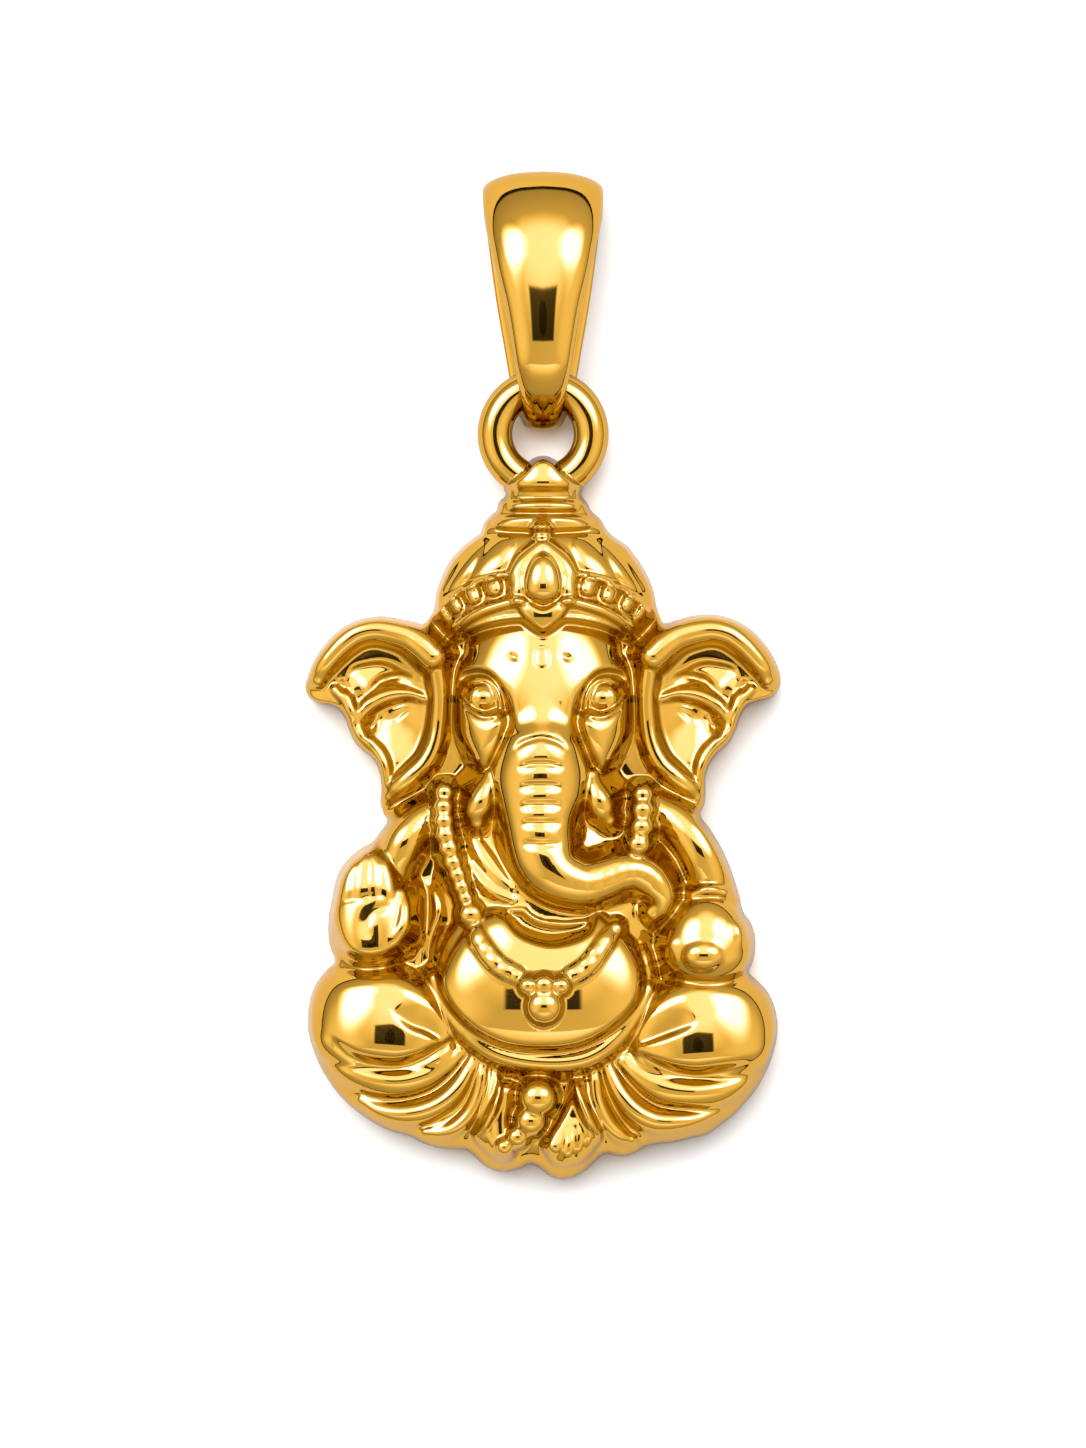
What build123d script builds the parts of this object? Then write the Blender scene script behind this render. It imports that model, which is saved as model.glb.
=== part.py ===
"""Ganesha pendant: a cast brass relief with its hanging ring soldered on, and a loose bail.

The pendant lies on its flat back. X runs to the right of the front, Y runs up to the bail and
Z is the height over the surface. The origin lies under the middle of the whole jewel.
"""

import math
import os

import numpy as np
from build123d import *

# Driving sizes, in millimetres.
figure_height = 35.85
figure_width = 23.55
figure_depth = 7.3
facet = 0.35
ring_outer = 6.5
ring_wire = 1.73
ring_rise = 1.05
bail_length = 12.8
bail_depth = 5.6
bail_wall = 0.75
bail_head_width = 6.05
bail_foot_width = 1.75
bail_back_foot_width = 2.4
bail_crown = 0.75
bail_corner = 0.5
bail_head_bend = 1.05
bail_foot_bend = 1.4
bail_rim = 0.45
bail_step = 0.1
lying_gap = 0.2
hanging_gap = 0.57

# The relief is laid out in parts: the figure is 471 parts wide, 717 tall and 146 deep. Its edge
# stands 34 high, and nothing rises from there faster than 8 for each part inward.
PARTS_ACROSS = 471
PARTS_UP = 717
PARTS_DEEP = 146
FOOT_WALL = 34
DRAFT = 8

# What follows from the driving sizes.
ring_radius = (ring_outer - ring_wire) / 2
ring_height = bail_wall + lying_gap + ring_wire / 2
wire_from_toes = figure_height + ring_rise + ring_radius
bail_foot = wire_from_toes - ring_wire / 2 - hanging_gap - bail_wall
overall_length = bail_foot + bail_length
toes = -overall_length / 2
ring_y = toes + figure_height + ring_rise
foot_y = toes + bail_foot
head_y = foot_y + bail_length


def curve(points, steps=8, closed=False):
    """A smooth line through rows of numbers."""
    rows = np.array(points, float)
    if closed:
        rows = np.vstack([rows[-1], rows, rows[0], rows[1]])
    else:
        rows = np.vstack([2 * rows[0] - rows[1], rows, 2 * rows[-1] - rows[-2]])
    share = np.linspace(0, 1, steps, endpoint=False)[:, None]
    spans = []
    for a, b, c, d in zip(rows[:-3], rows[1:-2], rows[2:-1], rows[3:]):
        bend = 2 * a - 5 * b + 4 * c - d
        twist = 3 * b - a - 3 * c + d
        spans.append(b + 0.5 * ((c - a) * share + bend * share**2 + twist * share**3))
    line = np.vstack(spans)
    return line if closed else np.vstack([line, rows[-2]])


def round_over(reach):
    """Height of a quarter round, 0 at reach 1 and 1 at reach 0."""
    return np.sqrt(np.clip(1 - reach * reach, 0, 1))


def inward(x, y, loop):
    """Distance to a closed line, above zero inside it."""
    nearest = np.full(x.shape, np.inf)
    inside = np.zeros(x.shape, bool)
    for a, b in zip(loop, np.roll(loop, -1, axis=0)):
        dx, dy = b - a
        share = np.clip(((x - a[0]) * dx + (y - a[1]) * dy) / (dx * dx + dy * dy), 0, 1)
        away = (x - a[0] - share * dx) ** 2 + (y - a[1] - share * dy) ** 2
        nearest = np.minimum(nearest, away)
        if dy:
            spans = (a[1] > y) != (b[1] > y)
            inside ^= spans & (x < a[0] + dx * (y - a[1]) / dy)
    return np.where(inside, 1, -1) * np.sqrt(nearest)


def outline():
    """The figure's edge, from the tip of the crown down the left side and up the right."""
    left = [
        (0, 717), (-12, 713), (-21, 703), (-31, 695), (-39, 687), (-37, 678), (-44, 671), (-46, 663),
        (-53, 657), (-59, 650), (-62, 641), (-70, 635), (-82, 625), (-91, 615), (-97, 605), (-102, 593),
        (-106, 581), (-107, 571), (-110, 561), (-118, 551), (-130, 553), (-144, 556), (-158, 558),
        (-173, 557), (-187, 553), (-200, 546), (-212, 535), (-221, 524), (-228, 512), (-233, 499),
        (-235.5, 487), (-231, 477), (-222, 472), (-211, 470), (-202, 465), (-196, 456), (-192, 445),
        (-187, 434), (-179, 425), (-170, 418), (-164, 409), (-161, 398), (-160, 385), (-161, 374),
        (-158, 363), (-154, 355), (-161, 345), (-169, 335), (-182, 327), (-193, 318), (-201, 307),
        (-206, 294), (-209, 279), (-212, 263), (-213, 247), (-211, 231), (-206, 216), (-215, 207),
        (-225, 194), (-231, 178), (-233, 160), (-232, 144), (-227, 127), (-220, 111), (-211, 96),
        (-200, 82), (-186, 69), (-169, 57), (-151, 48), (-132, 43), (-119, 36), (-103, 31), (-87, 30),
        (-76, 29), (-67, 22), (-57, 13), (-45, 8), (-33, 8), (-22, 11), (-12, 15), (-3, 11), (6, 4),
    ]
    right = [
        (17, 0), (29, 2), (41, 8), (51, 17), (61, 25), (70, 24), (81, 23), (93, 27), (103, 33), (115, 35),
        (131, 37), (147, 41), (163, 45), (177, 55), (190, 65), (202, 78), (213, 92), (222, 109),
        (228, 125),
        (232, 143), (232, 159), (228, 175), (221, 188), (211, 198), (204, 205), (208, 216), (210, 228),
        (210, 241), (206, 254), (198, 266), (195, 279), (190, 296), (184, 313), (175, 332), (165, 348),
        (156, 361), (160, 372), (161, 385), (161, 398), (165, 411), (173, 422), (184, 432), (191, 445),
        (196, 459), (203, 469), (214, 474), (225, 477), (233, 485), (235.5, 495), (233, 507), (227, 520),
        (218, 533), (206, 545), (191, 554), (175, 559), (160, 560), (145, 558), (131, 554), (120, 551),
        (115, 559), (112, 569), (110, 581), (106, 593), (100, 605), (92, 617), (83, 628), (70, 637),
        (63, 644), (57, 654), (48, 662), (44, 670), (38, 678), (40, 687), (31, 695), (21, 703), (12, 713),
    ]
    return curve(left + right, steps=6, closed=True)


class Relief:
    """Heights of the front over a net of places, built up form by form as wax is on a blank."""

    def __init__(self, pitch):
        margin = 3 * pitch
        half = PARTS_ACROSS / 2 + margin
        self.across = np.arange(-half, half + pitch, pitch)
        self.up = np.arange(-margin, PARTS_UP + margin, pitch)
        self.x, self.y = np.meshgrid(self.across, self.up)
        self.inside = inward(self.x, self.y, outline())
        # up, width of the rounded edge, rise over the foot wall
        edges = [
            (0, 34, 37), (150, 34, 37), (200, 30, 26), (300, 28, 22), (360, 24, 20), (400, 14, 14),
            (550, 14, 14), (580, 22, 28), (660, 18, 26), (717, 12, 20),
        ]
        up, width, rise = np.array(edges, float).T
        width, rise = np.interp(self.y, up, width), np.interp(self.y, up, rise)
        self.z = FOOT_WALL + rise * round_over(np.clip(1 - self.inside / width, 0, 1))
        self.ground = self.z.copy()

    def settle(self):
        """What is there now becomes the ground that the next forms stand on."""
        self.ground = self.z.copy()

    def part(self, xs, ys, margin):
        """The part of the net round some places."""
        left, right = np.searchsorted(self.across, (np.min(xs) - margin, np.max(xs) + margin))
        low, high = np.searchsorted(self.up, (np.min(ys) - margin, np.max(ys) + margin))
        return slice(low, high), slice(left, right)

    def merge(self, part, top, soft):
        share = np.clip(0.5 + 0.5 * (self.z[part] - top) / soft, 0, 1)
        self.z[part] = top + (self.z[part] - top) * share + soft * share * (1 - share)

    def follow(self, rows, reach):
        """Distance from a line in radii, the third column of its rows, the side and the travel."""
        line = curve(rows)
        part = self.part(line[:, 0], line[:, 1], reach * line[:, 3].max() + 4)
        x, y = self.x[part], self.y[part]
        nearest = np.full(x.shape, np.inf)
        third, radius, side, travel = (np.ones(x.shape) for _ in range(4))
        gone = 0
        for a, b in zip(line[:-1], line[1:]):
            dx, dy = b[0] - a[0], b[1] - a[1]
            length = math.hypot(dx, dy)
            if length == 0:
                continue
            share = np.clip(((x - a[0]) * dx + (y - a[1]) * dy) / length**2, 0, 1)
            away = (x - a[0] - share * dx) ** 2 + (y - a[1] - share * dy) ** 2
            closer = away < nearest
            nearest = np.where(closer, away, nearest)
            third = np.where(closer, a[2] + share * (b[2] - a[2]), third)
            radius = np.where(closer, a[3] + share * (b[3] - a[3]), radius)
            side = np.where(closer, (x - a[0]) * dy - (y - a[1]) * dx, side)
            travel = np.where(closer, gone + share * length, travel)
            gone += length
        return part, np.sqrt(nearest) / np.maximum(radius, 0.1), third, radius, side, travel

    def bar(self, rows, soft=2.5, share=1):
        """A round bar along rows of x, y, crest, radius; share is its rise over its radius."""
        part, reach, crest, radius, side, travel = self.follow(rows, 1.6)
        rise = share * radius
        top = crest - rise + rise * round_over(reach) - 2 * radius * np.maximum(reach - 1, 0)
        self.merge(part, top, soft)

    def roll(self, rows, soft=2.5, beads=0):
        """A round bar on the ground along rows of x, y, lift, radius; beads is a bead's length."""
        part, reach, lift, radius, side, travel = self.follow(rows, 1.7)
        if beads:
            lift = lift * (0.6 + 0.4 * round_over(2 * (travel / beads % 1) - 1))
        top = self.ground[part] + lift * round_over(reach) - 1.5 * lift * np.maximum(reach - 1, 0)
        self.merge(part, top, soft)

    def mound(self, rows, soft=3, within=None, edge=4):
        """An egg-shaped mound for each row of x, y, across, up, down, turn, crest, lift."""
        for x, y, across, up, down, turn, crest, lift in rows:
            part = self.part([x], [y], 1.3 * max(across, up, down) + 4)
            cos, sin = math.cos(math.radians(turn)), math.sin(math.radians(turn))
            u = ((self.x[part] - x) * cos + (self.y[part] - y) * sin) / across
            v = (self.y[part] - y) * cos - (self.x[part] - x) * sin
            reach = np.hypot(u, v / np.where(v > 0, up, down))
            top = crest - lift + lift * round_over(reach) - 2 * lift * np.maximum(reach - 1, 0)
            if within:
                inside = inward(self.x[part], self.y[part], curve(within, closed=True))
                top = top - edge + edge * round_over(np.clip(1 - inside / edge, 0, 1))
                top = top + 3 * np.minimum(inside, 0)
            self.merge(part, top, soft)

    def swell(self, rows, soft=3):
        """A mound on the ground for each row of x, y, across, up, turn, lift."""
        for x, y, across, up, turn, lift in rows:
            part = self.part([x], [y], 1.6 * max(across, up) + 4)
            cos, sin = math.cos(math.radians(turn)), math.sin(math.radians(turn))
            u = ((self.x[part] - x) * cos + (self.y[part] - y) * sin) / across
            v = ((self.y[part] - y) * cos - (self.x[part] - x) * sin) / up
            reach = np.hypot(u, v)
            top = self.ground[part] + lift * (round_over(reach) - 1.5 * np.maximum(reach - 1, 0))
            self.merge(part, top, soft)

    def patch(self, points, lift, edge, soft=2.5):
        """A raised field inside a closed line, rounded over at its edge."""
        loop = curve(points, closed=True)
        part = self.part(loop[:, 0], loop[:, 1], lift + 8)
        inside = inward(self.x[part], self.y[part], loop)
        top = lift * round_over(np.clip(1 - inside / edge, 0, 1))
        self.merge(part, self.ground[part] + top + 1.5 * np.minimum(inside, 0), soft)

    def sink(self, points, depth, edge):
        """A hollow inside a closed line, with a rounded wall."""
        loop = curve(points, closed=True)
        part = self.part(loop[:, 0], loop[:, 1], 4)
        inside = inward(self.x[part], self.y[part], loop)
        share = np.clip(0.5 + inside / edge, 0, 1)
        self.z[part] = self.z[part] - depth * share * share * (3 - 2 * share)

    def press(self, rows):
        """A soft hollow for each row of x, y, across, up, turn, depth."""
        for x, y, across, up, turn, depth in rows:
            part = self.part([x], [y], 2.5 * max(across, up))
            cos, sin = math.cos(math.radians(turn)), math.sin(math.radians(turn))
            u = ((self.x[part] - x) * cos + (self.y[part] - y) * sin) / across
            v = ((self.y[part] - y) * cos - (self.x[part] - x) * sin) / up
            self.z[part] = self.z[part] - depth * np.exp(-u * u - v * v)

    def groove(self, rows):
        """A soft furrow along rows of x, y, depth, radius."""
        part, reach, depth, radius, side, travel = self.follow(rows, 3)
        self.z[part] = self.z[part] - depth * np.exp(-reach * reach)

    def ledge(self, rows, tail):
        """A drop along rows of x, y, depth, radius: low on the right, coming up again over the tail."""
        radius = max(row[3] for row in rows)
        part, reach, depth, radius, side, travel = self.follow(rows, 3 * tail / radius)
        low = np.where(side > 0, np.exp(-((reach * radius / tail) ** 1.5)), np.exp(-reach * reach))
        self.z[part] = self.z[part] - depth * low

    def smooth(self, passes):
        for _ in range(passes):
            wide = np.pad(self.z, 1, mode="edge")
            tall = (wide[:-2] + 2 * wide[1:-1] + wide[2:]) / 4
            self.z = (tall[:, :-2] + 2 * tall[:, 1:-1] + tall[:, 2:]) / 4


def mirrored(rows):
    """The same rows on the other side of the middle line."""
    return [(-row[0],) + tuple(row[1:]) for row in rows]


def turned_over(rows):
    """A ledge's rows on the other side, low on the outer side as before."""
    return mirrored(rows)[::-1]


def ring_rows(x, y, across, up, depth, radius):
    """Rows for a groove that runs round an ellipse."""
    turns = np.linspace(0, 2 * math.pi, 17)
    return [(x + across * math.cos(t), y + up * math.sin(t), depth, radius) for t in turns]


def lay_ground(relief):
    """The trunk of the body under everything on it, and the thin webs that join the arms to it,
    with their raised seams.
    """
    # x, y, across, up, down, turn, crest, lift
    relief.mound([(0, 245, 116, 165, 130, 0, 92, 42)], soft=8)
    relief.settle()
    # x, y, lift, radius
    seams = [
        [(-118, 200, 2, 2), (-103, 175, 3, 3), (-91, 153, 3, 3), (-73, 135, 3, 3), (-48, 120, 3, 3),
         (-38, 113, 3, 3), (0, 110, 3, 3), (32, 112, 3, 3), (57, 123, 3, 3), (82, 140, 3, 3),
         (107, 165, 3, 3), (122, 190, 2, 2)],
        [(-113, 295, 2, 2), (-106, 270, 3, 3), (-111, 250, 3, 3), (-119, 225, 3, 3), (-121, 200, 2, 2)],
        [(112, 250, 2, 2), (117, 220, 3, 3), (125, 195, 2, 2)],
    ]
    for seam in seams:
        relief.roll(seam, soft=3)


def lay_ears(relief):
    """Each ear: a dished fan with two folds, a scalloped edge and a rolled rim."""
    # x, y, across, up, down, turn, crest, lift
    ear_fan = [(-150, 474, 86, 90, 104, 0, 60, 20)]
    # x, y, across, up, turn, depth
    ear_dish = [(-148, 462, 30, 44, 20, 13)]
    # x, y, crest, radius
    outer_rim = [
        (-109, 518, 84, 15), (-123, 531, 82, 15.5), (-138, 539, 79, 14.5), (-163, 544, 76, 13.4),
        (-181, 541, 75, 13), (-195, 532, 74, 12.4), (-207, 520, 72, 11.5), (-217, 507, 69, 10.5),
        (-222, 495, 63, 8),
    ]
    inner_rim = [
        (-105, 505, 76, 9), (-102, 480, 72, 9), (-103, 455, 69, 9.5), (-107, 433, 69, 10),
        (-116, 414, 69, 10.5), (-131, 399, 69, 11), (-144, 388, 65, 10), (-152, 379, 58, 7),
    ]
    # x, y, lift, radius
    scallops = [
        (-205, 485, 5, 5), (-195, 476, 8, 6), (-189, 463, 10, 6.5), (-185, 451, 6, 5), (-179, 440, 9, 6),
        (-170, 432, 7, 5), (-162, 423, 9, 6), (-157, 411, 10, 6.5), (-155, 397, 10, 6), (-154, 384, 7, 5),
    ]
    main_fold = [
        (-182, 458, 3, 5), (-173, 468, 7, 8), (-163, 475, 9, 9), (-150, 480, 9, 9), (-133, 480, 7, 7),
        (-116, 476, 3, 4),
    ]
    shoulder_scarf = [(-148, 363, 4, 3), (-133, 372, 6, 4), (-118, 380, 6, 4), (-103, 387, 4, 3)]
    # x, y, depth, radius
    high_ledge = [
        (-191, 500, 2, 2), (-185, 505, 5, 3), (-173, 508, 6, 3), (-160, 509, 6, 3), (-148, 505, 5, 3),
        (-138, 500, 2, 2),
    ]
    low_ledge = [
        (-168, 489, 3, 2), (-160, 495, 7, 3), (-150, 498, 7, 3), (-136, 499, 4, 3), (-128, 496, 1, 2),
    ]
    furrows = [
        [(-146, 470, 2, 3), (-135, 474, 3.5, 3), (-125, 475, 1, 2)],
        [(-149, 455, 2, 2.5), (-142, 461, 3, 2.5), (-135, 466, 2, 2.5)],
        [(-165, 456, 3, 3), (-169, 449, 7, 4), (-172, 441, 4, 3)],
        [(-183, 481, 2, 2), (-184, 475, 3, 2), (-183, 468, 2, 2)],
        [(-200, 492, 4, 3), (-197, 486, 5, 3)],
    ]
    relief.mound(ear_fan, soft=6)
    relief.mound(mirrored(ear_fan), soft=6)
    for side in (list, mirrored):
        for x, y, across, up, turn, depth in side(ear_dish):
            relief.press([(x, y, across, up, turn if x < 0 else -turn, depth)])
    relief.ledge(high_ledge, tail=14)
    relief.ledge(turned_over(high_ledge), tail=14)
    relief.ledge(low_ledge, tail=9)
    relief.ledge(turned_over(low_ledge), tail=9)
    relief.settle()
    for side in (list, mirrored):
        relief.roll(side(main_fold), soft=4)
        relief.roll(side(scallops), soft=3)
        for furrow in furrows:
            relief.groove(side(furrow))
        relief.bar(side(outer_rim))
        relief.bar(side(inner_rim))
        relief.roll(side(shoulder_scarf))


def lay_arms(relief):
    """The upper arms come down from the shoulders and bend in at the elbows."""
    # x, y, crest, radius
    left_arm = [(-100, 369, 74, 15), (-119, 355, 84, 19), (-135, 337, 89, 20.5), (-143, 317, 87, 19),
                (-145, 297, 80, 15)]
    right_arm = [(112, 367, 78, 18), (129, 357, 84, 20), (145, 341, 89, 21.5), (157, 320, 90, 22),
                 (164, 299, 86, 21.5), (167, 281, 80, 19)]
    relief.bar(left_arm)
    relief.bar(right_arm)


def lay_belly(relief):
    """The belly, the shawl's folds over the chest, and the belt under the belly."""
    # x, y, across, up, down, turn, crest, lift
    relief.mound([(0, 200, 100, 70, 78, 0, 131, 47)])
    relief.mound([(-96, 232, 13, 24, 24, -10, 84, 20), (98, 212, 15, 26, 26, 10, 84, 20)])
    # x, y, crest, radius
    belt = [
        (-106, 200, 86, 9), (-93, 172, 94, 11), (-73, 147, 98, 12), (-43, 127, 100, 12),
        (0, 119, 100, 12),
        (42, 123, 100, 12), (72, 143, 98, 12), (92, 170, 94, 11), (102, 190, 86, 9),
    ]
    relief.bar(belt)
    relief.settle()
    # x, y, lift, radius
    shawl = [
        [(-79, 350, 6, 6), (-71, 335, 11, 9), (-60, 317, 12, 10), (-47, 302, 10, 8), (-34, 290, 5, 5)],
        [(-76, 322, 5, 4), (-68, 306, 8, 6), (-54, 291, 8, 6), (-32, 281, 5, 4)],
        [(77, 377, 6, 5), (73, 350, 10, 7), (63, 330, 11, 8), (47, 320, 9, 7), (34, 324, 5, 5)],
        [(85, 375, 3, 3), (82, 350, 6, 3.5), (78, 328, 4, 3)],
        [(-55, 267, 2, 2), (-40, 267, 4, 2.5), (-20, 268, 4, 2.5), (-13, 262, 4, 2.5), (0, 256, 4, 2.5),
         (22, 254, 4, 2.5), (42, 256, 4, 2.5), (58, 264, 2, 2)],
    ]
    neckline = [
        (-36, 266, 4, 4), (-27, 256, 9, 7), (-14, 242, 10, 8), (3, 234, 10, 8), (22, 234, 9, 8),
        (40, 241, 7, 7),
        (54, 252, 3, 4),
    ]
    for fold in shawl:
        relief.roll(fold)
    relief.roll(neckline, soft=2)


def lay_legs(relief):
    """The folded legs: a thigh each side and the cloth's folds fanned out under it."""
    # x, y, across, up, down, turn, crest, lift
    relief.mound([(-152, 137, 86, 92, 40, -6, 106, 54), (154, 129, 86, 92, 40, 6, 106, 54)], soft=2)
    # x, y, crest, radius
    folds = [
        [(-209, 129, 74, 8), (-198, 121, 82, 16), (-178, 113, 88, 23), (-148, 108, 92, 28),
         (-123, 111, 92, 27), (-98, 121, 88, 20), (-85, 130, 84, 13)],
        [(-179, 81, 72, 5), (-163, 75, 80, 10), (-143, 71, 84, 14), (-121, 73, 86, 16),
         (-101, 82, 88, 15),
         (-85, 96, 88, 13), (-73, 112, 86, 9), (-68, 122, 84, 6)],
        [(-117, 49, 72, 4), (-103, 51, 78, 8), (-88, 57, 82, 11), (-76, 69, 84, 12), (-68, 84, 86, 11),
         (-62, 101, 86, 8), (-59, 115, 84, 5)],
        [(-67, 47, 74, 4), (-59, 60, 80, 7), (-53, 77, 84, 8), (-49, 95, 84, 7), (-48, 109, 82, 4)],
        [(202, 109, 74, 8), (192, 103, 82, 15), (172, 96, 88, 22), (147, 95, 92, 27), (122, 97, 92, 27),
         (97, 107, 88, 20), (82, 119, 84, 13)],
        [(172, 71, 72, 5), (155, 67, 80, 10), (135, 63, 84, 13), (112, 63, 86, 15), (94, 71, 88, 14),
         (79, 87, 88, 12), (69, 103, 86, 9), (64, 115, 84, 6)],
        [(87, 42, 74, 5), (77, 47, 80, 8), (65, 60, 84, 10), (57, 77, 86, 10), (53, 95, 86, 8),
         (51, 109, 84, 5)],
        [(55, 49, 76, 4), (47, 63, 82, 6.5), (41, 80, 84, 7), (37, 97, 84, 6)],
    ]
    for fold in folds:
        relief.bar(fold, soft=2)
    # x, y, depth, radius
    creases = [
        [(-211, 144, 1, 3), (-198, 132, 6, 4), (-186, 123, 10, 5), (-168, 117, 12, 6), (-143, 115, 13, 6),
         (-121, 121, 12, 6), (-103, 131, 9, 5), (-90, 139, 3, 3)],
        [(-182, 83, 1, 2), (-163, 80, 5, 3), (-143, 80, 7, 3), (-123, 84, 8, 3), (-106, 91, 8, 3),
         (-92, 102, 6, 3),
         (-80, 116, 2, 2)],
        [(-118, 52, 1, 2), (-103, 55, 5, 3), (-90, 64, 7, 3), (-79, 76, 7, 3), (-71, 92, 6, 3),
         (-66, 108, 2, 2)],
        [(204, 118, 1, 3), (186, 112, 9, 5), (168, 108, 12, 6), (150, 106, 13, 6), (130, 109, 12, 6),
         (112, 116, 9, 5), (96, 125, 3, 3)],
        [(176, 71, 1, 2), (157, 71, 5, 3), (137, 73, 7, 3), (115, 76, 8, 3), (98, 85, 8, 3),
         (86, 97, 6, 3),
         (75, 112, 2, 2)],
        [(92, 44, 1, 2), (80, 55, 5, 3), (70, 70, 7, 3), (62, 88, 6, 3), (58, 104, 2, 2)],
    ]
    for rows in creases[:3]:
        relief.ledge(rows, tail=13)
    for rows in creases[3:]:
        relief.ledge(rows[::-1], tail=13)
    relief.ledge([
        (-147, 168, 1, 2), (-130, 156, 5, 3), (-115, 150, 6, 3), (-99, 140, 2, 2),
    ][::-1], tail=16)
    relief.ledge([(150, 158, 1, 2), (137, 153, 5, 3), (119, 146, 6, 3), (97, 137, 2, 2)], tail=16)
    relief.settle()


def lay_feet(relief):
    """The feet crossed at the front, with their toes."""
    left_foot = [
        (-43, 99), (-27, 97), (-25, 80), (-30, 65), (-30, 50), (-25, 33), (-26, 25), (-36, 18), (-48, 21),
        (-60, 31), (-69, 43), (-61, 57), (-53, 75), (-46, 90),
    ]
    right_foot = [
        (29, 103), (22, 80), (12, 60), (2, 47), (-3, 35), (2, 25), (12, 15), (27, 14), (42, 20), (55, 35),
        (60, 45), (55, 60), (47, 75), (37, 95),
    ]
    relief.patch(left_foot, 14, 10)
    relief.patch(right_foot, 14, 10)
    relief.settle()
    # x, y, lift, radius
    toes = [
        [(-43, 90, 3, 7), (-43, 65, 4, 7), (-36, 30, 7, 8)], [(-31, 95, 3, 5), (-32, 70, 4, 5)],
        [(-53, 60, 3, 5), (-48, 35, 5, 6)],
        [(17, 65, 3, 5), (13, 40, 7, 9), (10, 32, 5, 8), (25, 65, 3, 4), (25, 40, 6, 6), (24, 24, 4, 5)],
        [(33, 63, 3, 4), (36, 40, 5, 5), (37, 27, 4, 5), (39, 63, 3, 4), (46, 46, 5, 5), (49, 35, 4, 4)],
    ]
    for toe in toes:
        relief.roll(toe, soft=1.5)


def lay_palm(relief):
    """The raised open palm on the left, leaning back from its heel, with its bracelets."""
    palm = [
        (-206, 262), (-205, 285), (-201, 305), (-193, 319), (-181, 327), (-166, 329), (-152, 323),
        (-143, 308),
        (-139, 288), (-130, 280), (-130, 262), (-135, 243), (-146, 229), (-166, 221), (-184, 224),
        (-198, 238),
    ]
    # x, y, across, up, down, turn, crest, lift
    relief.mound([(-171, 236, 42, 84, 27, 0, 106, 32)], soft=2, within=palm, edge=7)
    relief.mound([(-171, 284, 44, 56, 60, 0, 98, 32)], soft=2, within=palm, edge=7)
    relief.settle()
    # x, y, lift, radius
    fingers = [
        [(-195, 284, 3, 6), (-194, 300, 3.5, 6), (-190, 310, 3, 5.5)],
        [(-181, 284, 3, 6.5), (-180, 303, 3.5, 6.5), (-178, 318, 3, 6)],
        [(-167, 285, 3, 6.5), (-167, 305, 3.5, 6.5), (-168, 319, 3, 6)],
        [(-152, 285, 3, 6.5), (-152, 300, 3.5, 6.5), (-155, 313, 3, 6)],
    ]
    for finger in fingers:
        relief.roll(finger, soft=1)
    # x, y, depth, radius
    relief.ledge([
        (-149, 281, 1, 1.5), (-160, 283, 3, 2), (-174, 281, 4, 2), (-188, 278, 4, 2),
        (-201, 276, 2, 1.5),
    ], tail=10)
    relief.ledge([
        (-168, 241, 1, 2), (-171, 253, 4, 2), (-167, 264, 4, 2), (-158, 269, 4, 2), (-148, 271, 1, 2),
    ][::-1], tail=13)
    # x, y, crest, radius
    relief.bar([(-139, 284, 94, 6), (-136, 270, 101, 7), (-138, 253, 105, 8), (-147, 239, 104, 9)], soft=2)
    bracelets = [
        [(-193, 226, 76, 5), (-182, 219, 85, 5.5), (-168, 217, 88, 5.5), (-154, 220, 86, 5.5),
         (-142, 229, 77, 5)],
        [(-200, 214, 66, 4), (-183, 208, 76, 4.5), (-163, 206, 79, 4.5), (-140, 208, 70, 4)],
    ]
    for rows in bracelets:
        relief.bar(rows, soft=2)


def lay_right_hand(relief):
    """The right hand closed round a sweet, with its bracelets."""
    # x, y, crest, radius
    cuffs = [
        [(147, 283, 86, 5), (162, 288, 92, 5.5), (179, 285, 86, 5)],
        [(130, 211, 70, 4), (147, 204, 78, 5), (167, 202, 78, 5), (187, 207, 70, 4)],
        [(120, 199, 66, 3), (147, 191, 74, 4), (172, 192, 74, 4), (194, 197, 66, 3)],
    ]
    # x, y, across, up, down, turn, crest, lift
    relief.mound([(162, 233, 51, 44, 38, 0, 101, 48)])
    relief.mound([(161, 243, 42, 42, 30, 0, 108, 40)], soft=2)
    relief.mound([(188, 241, 12, 19, 19, 8, 102, 16)], soft=2)
    relief.mound([(158, 223, 24, 17, 17, 0, 112, 20)], soft=1.5)
    relief.mound([(133, 233, 12, 13, 15, 10, 98, 16)], soft=1.5)
    # x, y, lift, radius
    relief.roll([(141, 214, 1, 2), (158, 212, 3, 3), (172, 215, 1, 2)], soft=1)
    for rows in cuffs:
        relief.bar(rows, soft=2)


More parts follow.
